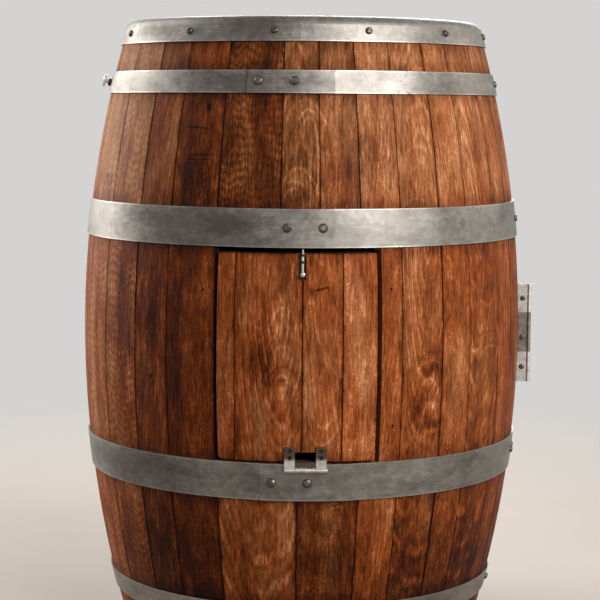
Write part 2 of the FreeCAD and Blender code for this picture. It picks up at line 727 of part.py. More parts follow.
def flap_pin():
    """Pin through the knuckles, with a cap on its right end."""
    axis = at(FLAP_HINGE_RADIUS, FLAP_HINGE_HEIGHT)
    left = axis.sub(Vector(FLAP_HINGE_WIDTH / 2, 0, 0))
    seat = axis.add(Vector(FLAP_HINGE_WIDTH / 2 + SEAT, 0, 0))
    cap = rod(seat, seat.add(Vector(FLAP_PIN_CAP, 0, 0)), FLAP_PIN_RADIUS + FLAP_PIN_CAP_RIM)
    return rod(left, seat, FLAP_PIN_RADIUS).fuse(cap).removeSplitter()


def door_leaf(outline_boxes, knuckles):
    """A leaf of the side hinge at azimuth 0: plates in the radial plane and rolled knuckles."""
    half = DOOR_LEAF_THICKNESS / 2
    solids = [box(-half, half, inner, outer, low, high) for inner, outer, low, high in outline_boxes]
    for low, high in knuckles:
        solids.append(rod(at(DOOR_HINGE_RADIUS, low), at(DOOR_HINGE_RADIUS, high), DOOR_KNUCKLE_RADIUS))
    whole = fuse(solids)
    foot, top = DOOR_HINGE_FOOT - SEAT, DOOR_HINGE_HEAD + SEAT
    return whole.cut(rod(at(DOOR_HINGE_RADIUS, foot), at(DOOR_HINGE_RADIUS, top), DOOR_PIN_RADIUS + RUNNING))


def spare_hole(height):
    """Cutter for the empty hole in a leaf where it stands out past the bulge."""
    middle = at(DOOR_HINGE_RADIUS - DOOR_LEAF_HOLE_INSET, height)
    reach = Vector(DOOR_LEAF_THICKNESS, 0, 0)
    return rod(middle.sub(reach), middle.add(reach), DOOR_LEAF_HOLE_RADIUS)


def jamb_screws():
    """Screws of the fixed leaf: their head places, and the way their heads look."""
    radius = DOOR_HINGE_INNER_RADIUS + DOOR_HINGE_SCREW_INSET
    heights = (DOOR_HINGE_FOOT + DOOR_HINGE_TAB / 2, (DOOR_TONGUE_HEAD + DOOR_HINGE_HEAD) / 2)
    return [(Vector(DOOR_LEAF_THICKNESS / 2, -radius, z), Vector(1, 0, 0)) for z in heights]


def door_edge_screws():
    """Screws of the moving leaf, looking the other way."""
    radius = DOOR_HINGE_INNER_RADIUS + DOOR_HINGE_SCREW_INSET
    middle = (DOOR_TONGUE_FOOT + DOOR_TONGUE_HEAD) / 2
    heights = (middle - DOOR_HINGE_SCREW_HALF_PITCH, middle + DOOR_HINGE_SCREW_HALF_PITCH)
    return [(Vector(-DOOR_LEAF_THICKNESS / 2, -radius, z), Vector(-1, 0, 0)) for z in heights]


def door_fixed_leaf():
    """Outer leaf: two tabs and the back bar that ties them, with a window for the tongue."""
    inner, axis = DOOR_HINGE_INNER_RADIUS, DOOR_HINGE_RADIUS
    foot, head = DOOR_HINGE_FOOT, DOOR_HINGE_HEAD
    window_foot, window_head = DOOR_TONGUE_FOOT - KNUCKLE_GAP, DOOR_TONGUE_HEAD + KNUCKLE_GAP
    bar_edge = DOOR_HINGE_WINDOW_RADIUS - KNUCKLE_GAP
    tabs = [(inner, axis, foot, window_foot), (inner, axis, window_head, head)]
    back_bar = (inner, bar_edge, foot, head)
    leaf = door_leaf([*tabs, back_bar], [(foot, window_foot), (window_head, head)])
    for spot, direction in jamb_screws():
        leaf = leaf.cut(aim(countersunk(SCREW_LENGTH, RUNNING), spot, direction))
        leaf = leaf.cut(spare_hole(spot.z))
    return turned_to(leaf, DOOR_HINGE_AZIMUTH)


def door_moving_leaf():
    """Tongue leaf that lies in the outer leaf's window while the door is shut."""
    foot, head = DOOR_TONGUE_FOOT, DOOR_TONGUE_HEAD
    leaf = door_leaf([(DOOR_HINGE_WINDOW_RADIUS, DOOR_HINGE_RADIUS, foot, head)], [(foot, head)])
    for spot, direction in door_edge_screws():
        leaf = leaf.cut(aim(countersunk(SCREW_LENGTH, RUNNING), spot, direction))
    leaf = leaf.cut(spare_hole((foot + head) / 2 - DOOR_LEAF_HOLE_DROP))
    return turned_to(leaf, DOOR_HINGE_AZIMUTH)


def door_pin():
    foot, top = DOOR_HINGE_FOOT + DOOR_PIN_SHORT, DOOR_HINGE_HEAD - DOOR_PIN_SHORT
    pin = rod(at(DOOR_HINGE_RADIUS, foot), at(DOOR_HINGE_RADIUS, top), DOOR_PIN_RADIUS)
    return turned_to(pin, DOOR_HINGE_AZIMUTH)


# ---------------------------------------------------------------- slide bolt
def bolt_recess():
    """Pocket in the flap's face, open at its upper edge."""
    back, front = BOLT_PLATE_BACK - SEAT, BULGE_RADIUS + SEAT
    foot, head = FLAP_HEAD - BOLT_RECESS_DROP, FLAP_HEAD + SEAT
    return turned_to(box(-BOLT_RECESS_LEFT, BOLT_RECESS_RIGHT, back, front, foot, head), BOLT_AZIMUTH)


def bolt_plate():
    """Back plate with the two rings that guide the bolt."""
    foot = FLAP_HEAD - BOLT_RECESS_DROP + BOLT_PLATE_FOOT_GAP
    head = FLAP_HEAD - BOLT_PLATE_HEAD_GAP
    front = BOLT_PLATE_BACK + BOLT_PLATE_THICKNESS
    solids = [box(-BOLT_PLATE_HALF_WIDTH, BOLT_PLATE_HALF_WIDTH, BOLT_PLATE_BACK, front, foot, head)]
    for drop in BOLT_RING_DROPS:
        low = FLAP_HEAD - drop
        high = low + BOLT_RING_HEIGHT
        solids.append(rod(at(BOLT_AXIS_RADIUS, low), at(BOLT_AXIS_RADIUS, high), BOLT_RING_RADIUS))
        half = BOLT_RING_HALF_FOOT
        solids.append(box(-half, half, BOLT_PLATE_BACK, BOLT_AXIS_RADIUS, low, high))
    room = rod(at(BOLT_AXIS_RADIUS, foot), at(BOLT_AXIS_RADIUS, LINTEL), BOLT_RADIUS + RUNNING)
    return turned_to(fuse(solids).cut(room), BOLT_AZIMUTH)


def bolt():
    """The bolt itself, with a blunt point above and a round thumb knob near its foot."""
    r, tip = BOLT_RADIUS, BOLT_TIP_RADIUS
    ease = r / 3
    top = BOLT_LENGTH + BOLT_TIP_LENGTH
    shaft = turned([
        (0, 0), (r - ease, 0), (r, ease), (r, BOLT_LENGTH), (tip, BOLT_LENGTH + tip),
        (tip, top - tip), (tip / 3, top), (0, top),
    ])
    k, stem, reach = BOLT_KNOB_RADIUS, BOLT_KNOB_STEM_RADIUS, BOLT_KNOB_REACH
    knob = turned([
        (0, 0), (stem, 0), (stem, reach - 1.5 * k), (k * 0.8, reach - 1.2 * k), (k, reach - 0.8 * k),
        (k * 0.85, reach - 0.3 * k), (k * 0.4, reach), (0, reach),
    ])
    knob.rotate(ORIGIN, Vector(1, 0, 0), 90)
    knob.translate(Vector(0, 0, BOLT_LENGTH - BOLT_KNOB_DROP))
    whole = shaft.fuse(knob).removeSplitter()
    whole.translate(at(BOLT_AXIS_RADIUS, FLAP_HEAD - BOLT_LENGTH))
    return turned_to(whole, BOLT_AZIMUTH)


def keeper_room():
    """Hole in the stave above the flap that takes the bolt's point."""
    foot, head = at(BOLT_AXIS_RADIUS, LINTEL - SEAT), at(BOLT_AXIS_RADIUS, LINTEL + KEEPER_DEPTH)
    return turned_to(rod(foot, head, BOLT_TIP_RADIUS + KEEPER_PLAY), BOLT_AZIMUTH)


# ---------------------------------------------------------------- studs
def stud(azimuth, height, stand):
    """Washer-headed stud screwed in from outside: used as a hook, and as the side door's pull."""
    disc, ease, screw = STUD_DISC_RADIUS, STUD_DISC_EASE, STUD_SCREW_RADIUS
    disc_foot = STUD_REACH - STUD_DISC_THICKNESS
    solid = turned([
        (0, -STUD_SCREW_DEPTH), (screw, -STUD_SCREW_DEPTH), (screw, HEAD_SEAT),
        (STUD_STEM_RADIUS, HEAD_SEAT), (STUD_STEM_RADIUS, disc_foot), (disc, disc_foot),
        (disc, STUD_REACH - ease), (disc - ease, STUD_REACH), (0, STUD_REACH),
    ])
    return set_square(solid, azimuth, height, stand)


# ---------------------------------------------------------------- put the cabinet together
def holes_cut(shape, spots, radius):
    """Cut the same hole at several azimuths and heights."""
    for azimuth, height in spots:
        shape = shape.cut(hole(radius, azimuth, height))
    return shape


def within(spots, start, end):
    """The spots whose azimuth lies between two azimuths, a whole turn either way."""
    found = []
    for azimuth, height in spots:
        if any(start < azimuth + turn < end for turn in (-FULL_TURN, 0, FULL_TURN)):
            found.append((azimuth, height))
    return found


def hinge_screw(spot, direction, azimuth):
    """Countersunk screw of a hinge that was drawn at azimuth 0 and stands at another."""
    return turned_to(aim(countersunk(SCREW_LENGTH), spot, direction), azimuth)


def hinge_screw_room(spot, direction, azimuth):
    """Room that such a screw needs in the wood."""
    return turned_to(aim(countersunk(SCREW_LENGTH, RUNNING), spot, direction), azimuth)


def frame_screws():
    """Azimuth and height of each screw through the hoops into the fixed staves."""
    spots = [(azimuth, HEIGHT - HEAD_HOOP_SCREW_DROP) for azimuth in HEAD_HOOP_SCREW_AZIMUTHS]
    near_door = DOOR_HINGE_AZIMUTH - DOORWAY_SCREW_ANGLE
    for height in (UPPER_QUARTER_MIDDLE, UPPER_BULGE_MIDDLE, LOWER_BULGE_MIDDLE, LOWER_QUARTER_MIDDLE):
        spots.append((near_door, height))
    spots.append((DOOR_FAR_AZIMUTH + DOORWAY_SCREW_ANGLE, LOWER_BULGE_MIDDLE))
    return spots


def door_hoop_screws():
    """Azimuth and height of each screw through the hoop's piece on the door."""
    azimuths = (DOOR_HINGE_AZIMUTH + DOORWAY_SCREW_ANGLE, DOOR_FAR_AZIMUTH - DOORWAY_SCREW_ANGLE)
    return [(azimuth, LOWER_BULGE_MIDDLE) for azimuth in azimuths]


def bored(shape, start=-FULL_TURN, end=FULL_TURN):
    """Cut the pilot holes of the hoop screws and the stud that fall between two azimuths."""
    shape = holes_cut(shape, within(frame_screws(), start, end), HOOP_SCREW_SHANK_RADIUS + RUNNING)
    stud_spot = within([(STUD_AZIMUTH, UPPER_QUARTER_MIDDLE)], start, end)
    return holes_cut(shape, stud_spot, STUD_SCREW_RADIUS + RUNNING)


def shell():
    """The staves and the short staves above and below the doorways."""
    nodes = {}
    jamb_room = [hinge_screw_room(*screw, DOOR_HINGE_AZIMUTH) for screw in jamb_screws()]
    for name, (start, end) in stave_spans().items():
        solid = bored(stave(0, HEIGHT, start, end), start, end)
        if start == FRONT_RIGHT_SEAM:
            solid = solid.cut(flapway())
        if end == JAMB_EDGE:
            for room in jamb_room:
                solid = solid.cut(room)
        nodes[name] = solid
    above = bored(short_staves(LINTEL, HEIGHT, ABOVE_FLAP_SEAMS), FRONT_LEFT_SEAM, FRONT_RIGHT_SEAM)
    nodes["staves_above_flap"] = above.cut(keeper_room())
    below = short_staves(0, SILL, BELOW_FLAP_SEAMS)
    for spot in sill_screws():
        below = below.cut(hinge_screw_room(spot, UP, FLAP_HINGE_AZIMUTH))
    nodes["staves_below_flap"] = below
    seams = (JAMB_EDGE, *SHORT_DOOR_SEAMS, DOOR_FAR_AZIMUTH)
    above = short_staves(DOOR_HEAD + DOORWAY_CLEAR, HEIGHT, seams)
    nodes["staves_above_door"] = bored(above, JAMB_EDGE, DOOR_FAR_AZIMUTH)
    nodes["staves_below_door"] = short_staves(0, DOOR_FOOT - DOORWAY_CLEAR, seams)
    return nodes


def hoops():
    """The six hoops, their rivets and screws, and the hook stud."""
    around = (DOOR_FAR_AZIMUTH, JAMB_EDGE + FULL_TURN)
    rivets = [
        *lap_rivets(UPPER_QUARTER_RIVET_AZIMUTH, 1, UPPER_QUARTER_MIDDLE),
        *lap_rivets(UPPER_BULGE_RIVET_AZIMUTH, -1, UPPER_BULGE_MIDDLE),
        *lap_rivets(LOWER_BULGE_RIVET_AZIMUTH, 1, LOWER_BULGE_MIDDLE),
        *lap_rivets(LOWER_QUARTER_RIVET_AZIMUTH, 1, LOWER_QUARTER_MIDDLE),
        *lap_rivets(FOOT_RIVET_AZIMUTH, 1, FOOT_HOOP_MIDDLE),
    ]
    upper_quarter_head = HEIGHT - QUARTER_HOOP_FROM_END
    upper_bulge_head = HEIGHT - BULGE_HOOP_FROM_END
    upper_quarter = lapped_hoop(UPPER_QUARTER_HOOP_FOOT, upper_quarter_head, UPPER_QUARTER_RIVET_AZIMUTH, 1)
    upper_bulge = lapped_hoop(UPPER_BULGE_HOOP_FOOT, upper_bulge_head, UPPER_BULGE_RIVET_AZIMUTH, -1)
    lower_bulge = lapped_hoop(
        BULGE_HOOP_FROM_END, LOWER_BULGE_HOOP_HEAD, LOWER_BULGE_RIVET_AZIMUTH, 1, *around
    )
    lower_quarter = lapped_hoop(
        QUARTER_HOOP_FROM_END, LOWER_QUARTER_HOOP_HEAD, LOWER_QUARTER_RIVET_AZIMUTH, 1
    )
    return {
        "top_hoop": bored(head_hoop()),
        "upper_quarter_hoop": bored(upper_quarter),
        "upper_bulge_hoop": bored(upper_bulge),
        "lower_bulge_hoop": bored(lower_bulge),
        "lower_quarter_hoop": bored(lower_quarter),
        "foot_hoop": lapped_hoop(0, HEAD_HOOP_WIDTH, FOOT_RIVET_AZIMUTH, 1),
        "hoop_rivets": group([rivet(azimuth, height) for azimuth, height in rivets]),
        "hoop_screws": group([hoop_screw(azimuth, height) for azimuth, height in frame_screws()]),
        "hook_stud": stud(STUD_AZIMUTH, UPPER_QUARTER_MIDDLE, SEAT + HOOP_THICKNESS),
    }


def inside():
    """The heads, the bar top and the shelf on its cleats."""
    return {
        "bar_top": bar_top(),
        "top_head": head(TOP_HEAD_MIDDLE),
        "foot_head": head(FOOT_HEAD_MIDDLE),
        "shelf": shelf(),
        "shelf_cleats": cleats(),
    }


def flap():
    """The flap: its staves and battens, the hinge under it and the slide bolt at its head."""
    nodes = {}
    seams = (FLAP_LEFT_AZIMUTH, *FLAP_SEAMS, FLAP_RIGHT_AZIMUTH)
    half = FLAP_HINGE_TONGUE_WIDTH / 2 + KNUCKLE_GAP
    notch = box(-half, half, 0, BULGE_RADIUS + SEAT, SILL, FLAP_FOOT + FLAP_NOTCH_RISE)
    cutters = [turned_to(notch, FLAP_HINGE_AZIMUTH), bolt_recess()]
    screws = []
    for spot in flap_leg_screws():
        cutters.append(hinge_screw_room(spot, leg_normal(), FLAP_HINGE_AZIMUTH))
        screws.append(hinge_screw(spot, leg_normal(), FLAP_HINGE_AZIMUTH))
    for number, (start, end) in enumerate(neighbours(seams), 1):
        solid = stave(FLAP_FOOT, FLAP_HEAD, start, end)
        if start == seams[0]:
            solid = round_corners(solid, start, FLAP_WORN_CORNER, FLAP_CORNER)
        if end == seams[-1]:
            solid = round_corners(solid, end, FLAP_CORNER, FLAP_CORNER)
        for cutter in cutters:
            solid = solid.cut(cutter)
        nodes[f"flap_stave_{number}"] = solid
    inset = FLAP_BATTEN_INSET_ANGLE
    left, right = FLAP_LEFT_AZIMUTH + inset, FLAP_RIGHT_AZIMUTH - inset
    nodes["flap_battens"] = battens(FLAP_FOOT, FLAP_BATTEN_RISES, left, right)
    nodes["flap_hinge_leaf"] = turned_to(flap_moving_leaf(), FLAP_HINGE_AZIMUTH)
    nodes["flap_hinge_tongue"] = turned_to(flap_fixed_leaf(), FLAP_HINGE_AZIMUTH)
    nodes["flap_hinge_pin"] = turned_to(flap_pin(), FLAP_HINGE_AZIMUTH)
    nodes["flap_screws"] = group(screws)
    nodes["bolt_plate"] = bolt_plate()
    nodes["bolt"] = bolt()
    return nodes


def side_door():
    """The side door: its staves, battens and piece of hoop, its hinge and its pull."""
    nodes = {}
    seams = (DOOR_START, *DOOR_SEAMS, DOOR_END)
    hoop_spots = door_hoop_screws()
    pilot = HOOP_SCREW_SHANK_RADIUS + RUNNING
    pull_spot = (PULL_AZIMUTH, HEIGHT / 2 + PULL_ABOVE_BULGE)
    for number, (start, end) in enumerate(neighbours(seams), 1):
        solid = stave(DOOR_FOOT, DOOR_HEAD, start, end)
        if start == DOOR_START:
            for screw in door_edge_screws():
                solid = solid.cut(hinge_screw_room(*screw, DOOR_HINGE_AZIMUTH))
        if end == DOOR_END:
            solid = round_corners(solid, end, DOOR_CORNER, DOOR_CORNER)
        solid = holes_cut(solid, within(hoop_spots, start, end), pilot)
        solid = holes_cut(solid, within([pull_spot], start, end), STUD_SCREW_RADIUS + RUNNING)
        nodes[f"door_stave_{number}"] = solid
    inset = DOOR_BATTEN_INSET_ANGLE
    nodes["door_battens"] = battens(DOOR_FOOT, DOOR_BATTEN_RISES, DOOR_START + inset, DOOR_END - inset)
    piece = plain_hoop(BULGE_HOOP_FROM_END, LOWER_BULGE_HOOP_HEAD, DOOR_START, DOOR_END)
    nodes["door_hoop_piece"] = holes_cut(piece, hoop_spots, pilot)
    nodes["door_hinge_tongue"] = door_moving_leaf()
    nodes["door_hinge_leaf"] = door_fixed_leaf()
    nodes["door_hinge_pin"] = door_pin()
    screws = [hinge_screw(*screw, DOOR_HINGE_AZIMUTH) for screw in door_edge_screws()]
    screws += [hoop_screw(azimuth, height) for azimuth, height in hoop_spots]
    nodes["door_screws"] = group(screws)
    nodes["door_pull"] = stud(*pull_spot, 0.0)
    return nodes


def hinge_screws():
    """The screws that hold both hinges' fixed leaves to the cask."""
    screws = [hinge_screw(spot, UP, FLAP_HINGE_AZIMUTH) for spot in sill_screws()]
    screws += [hinge_screw(*screw, DOOR_HINGE_AZIMUTH) for screw in jamb_screws()]
    return group(screws)


def build():
    """Every node of the cabinet, by name."""
    return {**shell(), **hoops(), **inside(), **flap(), **side_door(), "hinge_screws": hinge_screws()}


def corner_edges(solid, azimuth, upper):
    """The edges through the thickness at a door's upper or lower corner at an azimuth."""
    near = 2 * math.degrees(SEAM / BULGE_RADIUS)
    middle = solid.BoundBox.Center.z
    corners = []
    for edge in solid.Edges:
        ends = [vertex.Point for vertex in edge.Vertexes]
        if len(ends) < 2 or abs(ends[0].z - ends[1].z) > MATCH:
            continue
        if (ends[0].z > middle) != upper:
            continue
        angles = [math.degrees(math.atan2(p.x, -p.y)) for p in ends]
        through = ends[0].distanceToPoint(ends[1]) > STAVE_THICKNESS / 2
        if through and all(abs(angle - azimuth) < near for angle in angles):
            corners.append(edge)
    return corners


def round_corners(solid, azimuth, foot_radius, head_radius):
    """Round the lower and the upper corner of a door along its edge at an azimuth."""
    solid = solid.makeFillet(foot_radius, corner_edges(solid, azimuth, False))
    return solid.makeFillet(head_radius, corner_edges(solid, azimuth, True))


os.makedirs("parts", exist_ok=True)
for node_name, node_shape in build().items():
    node_shape.exportStep(f"parts/{node_name}.step")
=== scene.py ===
"""Looks of the barrel bar cabinet: oak staves, galvanised hoops, drop flap, side door and their fittings."""

import logging
import math
import random
from collections.abc import Callable
from dataclasses import asdict, dataclass, field, replace
from enum import Enum

import bmesh
import bpy
from mathutils import Matrix, Vector

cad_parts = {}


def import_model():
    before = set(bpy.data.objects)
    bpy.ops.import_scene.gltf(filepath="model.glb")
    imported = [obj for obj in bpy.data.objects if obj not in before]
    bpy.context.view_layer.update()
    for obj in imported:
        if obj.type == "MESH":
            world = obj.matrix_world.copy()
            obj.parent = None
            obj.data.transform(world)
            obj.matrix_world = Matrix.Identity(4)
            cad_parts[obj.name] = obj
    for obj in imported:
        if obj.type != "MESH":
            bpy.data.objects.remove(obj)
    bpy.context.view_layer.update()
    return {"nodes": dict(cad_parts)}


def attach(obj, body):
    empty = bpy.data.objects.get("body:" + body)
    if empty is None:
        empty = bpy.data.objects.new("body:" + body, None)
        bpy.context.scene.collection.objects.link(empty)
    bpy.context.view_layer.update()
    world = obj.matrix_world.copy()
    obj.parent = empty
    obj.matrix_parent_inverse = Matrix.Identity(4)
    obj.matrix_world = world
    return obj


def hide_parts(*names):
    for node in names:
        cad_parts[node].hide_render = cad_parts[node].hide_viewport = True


LOG = logging.getLogger("barrel_bar_cabinet")
MM = 0.001
DEGREES = 180 / math.pi
HEIGHT = 914.0
BULGE_RADIUS = 328.5
END_DROP = 67.0
ARC_PER_DEGREE = BULGE_RADIUS / DEGREES
# Foot and head of each hoop, in millimetres above the floor.
HOOP_SPANS = {
    "foot_hoop": (0.0, 32.0),
    "lower_quarter_hoop": (71.5, 102.5),
    "lower_bulge_hoop": (257.5, 309.5),
    "upper_bulge_hoop": (604.5, 656.5),
    "upper_quarter_hoop": (811.5, 842.5),
    "top_hoop": (882.0, 916.8),
}

Colour = tuple[float, float, float]
Stops = tuple[tuple[float, Colour], ...]


# ---------------------------------------------------------------------------------------- shader maths


class Signal:
    """A number socket of a node tree that is used like a number in an expression."""

    def __init__(self, bench: "Bench", socket: bpy.types.NodeSocket) -> None:
        """Keep the socket and the bench that its maths is drawn on."""
        self.bench = bench
        self.socket = socket

    def __add__(self, other: "Signal | float") -> "Signal":
        """This plus the other."""
        return self.bench.math("ADD", self, other)

    __radd__ = __add__

    def __sub__(self, other: "Signal | float") -> "Signal":
        """This less the other."""
        return self.bench.math("SUBTRACT", self, other)

    def __rsub__(self, other: float) -> "Signal":
        """The other less this."""
        return self.bench.math("SUBTRACT", other, self)

    def __mul__(self, other: "Signal | float") -> "Signal":
        """This times the other."""
        return self.bench.math("MULTIPLY", self, other)

    __rmul__ = __mul__

    def __truediv__(self, other: "Signal | float") -> "Signal":
        """This over the other."""
        return self.bench.math("DIVIDE", self, other)

    def __rtruediv__(self, other: float) -> "Signal":
        """The other over this."""
        return self.bench.math("DIVIDE", other, self)

    def __abs__(self) -> "Signal":
        """The size of this, without its sign."""
        return self.bench.math("ABSOLUTE", self)

    def __mod__(self, other: float) -> "Signal":
        """What is left of this after whole steps of the other, never negative."""
        return self.bench.math("FLOORED_MODULO", self, other)

    def over(self, edge: "Signal | float") -> "Signal":
        """1 where this lies above the edge, else 0."""
        return self.bench.math("GREATER_THAN", self, edge)

    def least(self, other: "Signal | float") -> "Signal":
        """The smaller of the two."""
        return self.bench.math("MINIMUM", self, other)

    def most(self, other: "Signal | float") -> "Signal":
        """The larger of the two."""
        return self.bench.math("MAXIMUM", self, other)

    def root(self) -> "Signal":
        """Square root of this."""
        return self.bench.math("SQRT", self)

    def sine(self) -> "Signal":
        """Sine of this, in radians."""
        return self.bench.math("SINE", self)

    def cosine(self) -> "Signal":
        """Cosine of this, in radians."""
        return self.bench.math("COSINE", self)

    def eased(self, low: float, high: float) -> "Signal":
        """Rise smoothly from 0 at low to 1 at high.

        Args:
            low: Value at which the rise starts.
            high: Value at which it ends. It may lie below low, for a fall.

        Returns:
            The eased value.
        """
        if low > high:
            return 1 - self.eased(high, low)
        node = self.bench.node(
            "ShaderNodeMapRange",
            {"interpolation_type": "SMOOTHSTEP"},
            {0: self, 1: low, 2: high, 3: 0.0, 4: 1.0},
        )
        return Signal(self.bench, node.outputs[0])


Value = Signal | float


def span(aside: Signal, above: Signal) -> Signal:
    """How far a point is, from its distances along two square directions."""
    return (aside * aside + above * above).root()


def weigh(parts: dict[str, Signal], shares: dict[str, float]) -> Signal:
    """Add up signals, each times its share."""
    return sum(parts[name] * share for name, share in shares.items())


@dataclass(frozen=True)
class Rise:
    """An amount that comes in smoothly as a signal goes from one value to another."""

    start: float
    end: float
    amount: float

    def at(self, signal: Signal) -> Signal:
        """The amount where the signal stands."""
        return signal.eased(self.start, self.end) * self.amount


@dataclass(frozen=True)
class Band:
    """A share that rises between two values of a signal and falls again between two more."""

    start: float
    full: float
    fading: float
    end: float

    def at(self, signal: Signal) -> Signal:
        """The share where the signal stands."""
        return signal.eased(self.start, self.full) * signal.eased(self.end, self.fading)


class Bench:
    """A node tree and the ways to add to it."""

    def __init__(self, tree: bpy.types.NodeTree, output: str) -> None:
        """Clear a node tree and give it an output.

        Args:
            tree: The tree of a material or a world.
            output: Type name of its output node.
        """
        self.tree = tree
        self.tree.nodes.clear()
        self.output = self.node(output)

    def feed(self, target: bpy.types.NodeSocket, value: object) -> None:
        """Link a signal or a socket to the target, or set a plain value on it.

        Args:
            target: Input socket.
            value: What it gets.
        """
        if isinstance(value, Signal):
            value = value.socket
        if isinstance(value, bpy.types.NodeSocket):
            self.tree.links.new(value, target)
        else:
            target.default_value = value

    def node(self, kind: str, settings: dict | None = None, inputs: dict | None = None) -> bpy.types.Node:
        """Add a node.

        Args:
            kind: Type name of the node.
            settings: Its properties, such as an operation. "stops" gives a ramp's (place, colour) pairs.
            inputs: Values or links by socket name or number.

        Returns:
            The node.
        """
        made = self.tree.nodes.new(kind)
        for name, value in (settings or {}).items():
            if name == "stops":
                self._set_stops(made.color_ramp, value)
            else:
                setattr(made, name, value)
        for key, value in (inputs or {}).items():
            self.feed(made.inputs[key], value)
        return made

    @staticmethod
    def _set_stops(ramp: bpy.types.ColorRamp, stops: Stops) -> None:
        """Give a ramp its stops.

        Args:
            ramp: The ramp, with the two stops that a new one has.
            stops: Place and colour of each stop, in order.
        """
        while len(ramp.elements) < len(stops):
            ramp.elements.new(1.0)
        for element, (place, colour) in zip(ramp.elements, stops):
            element.position = place
            element.color = (*colour, 1.0)

    def math(self, operation: str, *values: Value) -> Signal:
        """Add a Math node.

        Args:
            operation: Its operation.
            values: Its numbers or signals, in order.

        Returns:
            What it gives.
        """
        node = self.node("ShaderNodeMath", {"operation": operation}, dict(enumerate(values)))
        return Signal(self, node.outputs[0])

    def place(self, turn: float = 0.0) -> tuple[Signal, Signal, Signal]:
        """Coordinates on the cabinet.

        Args:
            turn: Azimuth in degrees that is brought to the front.

        Returns:
            x, y and z in millimetres.
        """
        source = self.node("ShaderNodeTexCoord")
        turned = self.node(
            "ShaderNodeMapping",
            {"vector_type": "POINT"},
            {
                "Vector": source.outputs["Object"],
                "Rotation": (0.0, 0.0, -math.radians(turn)),
                "Scale": (1 / MM, 1 / MM, 1 / MM),
            },
        )
        split = self.node("ShaderNodeSeparateXYZ", None, {0: turned.outputs[0]})
        return tuple(Signal(self, split.outputs[i]) for i in range(3))

    def azimuth(self, x: Signal, y: Signal) -> Signal:
        """Azimuth of a point in radians, from the front and towards +x."""
        return self.math("ARCTAN2", x, 0 - y)

    def point(self, x: Value, y: Value, z: Value) -> bpy.types.NodeSocket:
        """A vector of three numbers."""
        return self.node("ShaderNodeCombineXYZ", None, {0: x, 1: y, 2: z}).outputs[0]

    def noise(
        self, where: bpy.types.NodeSocket, detail: float = 3.0, rough: float = 0.6, twist: float = 0.0
    ) -> Signal:
        """Cloudy noise about 0, one unit to a cloud.

        Args:
            where: The point that it is read at.
            detail: Finer layers that are added.
            rough: How strong each finer layer is.
            twist: How far it is distorted.

        Returns:
            The noise, about -0.5 to 0.5.
        """
        node = self.node(
            "ShaderNodeTexNoise",
            None,
            {"Vector": where, "Scale": 1.0, "Detail": detail, "Roughness": rough, "Distortion": twist},
        )
        return Signal(self, node.outputs[0]) - 0.5

    def cells(self, where: bpy.types.NodeSocket) -> tuple[Signal, Signal]:
        """Uneven cells of about one unit.

        Args:
            where: The point that they are read at.

        Returns:
            Distance from a cell's middle, and a number from 0 to 1 that is the cell's own.
        """
        node = self.node("ShaderNodeTexVoronoi", None, {"Vector": where, "Scale": 1.0, "Randomness": 1.0})
        split = self.node("ShaderNodeSeparateColor", None, {0: node.outputs["Color"]})
        return Signal(self, node.outputs["Distance"]), Signal(self, split.outputs[0])

    def ramp(self, amount: Signal, stops: Stops) -> bpy.types.NodeSocket:
        """A colour that follows the amount through the stops."""
        return self.node("ShaderNodeValToRGB", {"stops": stops}, {0: amount}).outputs[0]

    def blend(self, share: Value, first: Colour | object, second: Colour | object) -> bpy.types.NodeSocket:
        """Mix two colours.

        Args:
            share: How much of the second.
            first: Colour or colour socket.
            second: Colour or colour socket.

        Returns:
            The mixed colour.
        """
        pair = [(*c, 1.0) if isinstance(c, tuple) else c for c in (first, second)]
        node = self.node("ShaderNodeMix", {"data_type": "RGBA"}, {0: share, 6: pair[0], 7: pair[1]})
        return node.outputs[2]

    def relief(self, height: Signal, depth: float, strength: float) -> bpy.types.NodeSocket:
        """A bumped normal.

        Args:
            height: Height signal of about one unit.
            depth: How deep a unit is, in millimetres.
            strength: Share of it that shows.

        Returns:
            The normal socket.
        """
        inputs = {"Height": height, "Distance": depth * MM, "Strength": strength}
        return self.node("ShaderNodeBump", None, inputs).outputs[0]

    def shown(self) -> Signal:
        """1 for rays that show a backdrop straight, in a mirror or through glass, else 0.

        Returns:
            The share.
        """
        path = self.node("ShaderNodeLightPath")
        camera, glossy, through = (
            Signal(self, path.outputs[f"Is {kind} Ray"]) for kind in ("Camera", "Glossy", "Transmission")
        )
        return camera.most(glossy).most(through)


class Finish(Bench):
    """The node tree of one material, round a principled shader."""

    def __init__(self, name: str) -> None:
        """Start the material.

        Args:
            name: Its name.
        """
        self.material = bpy.data.materials.new(name)
        self.material.use_nodes = True
        super().__init__(self.material.node_tree, "ShaderNodeOutputMaterial")
        self.shader = self.node("ShaderNodeBsdfPrincipled")
        self.feed(self.output.inputs[0], self.shader.outputs[0])

    def dress(self, **sockets: object) -> None:
        """Set or link sockets of the shader, by name with _ for each space."""
        for name, value in sockets.items():
            self.feed(self.shader.inputs[name.replace("_", " ")], value)


class Axis(Enum):
    """Direction in a board. On a hoop ACROSS goes round and OUT goes up, and on a fitting it is x, y or z."""

    ACROSS = 0
    OUT = 1
    ALONG = 2


@dataclass(frozen=True)
class Spot:
    """A point of a piece: how far it lies across, out of and along the piece, and the piece's own offset."""

    bench: Bench
    across: Value
    out: Value
    along: Value
    offset: Value


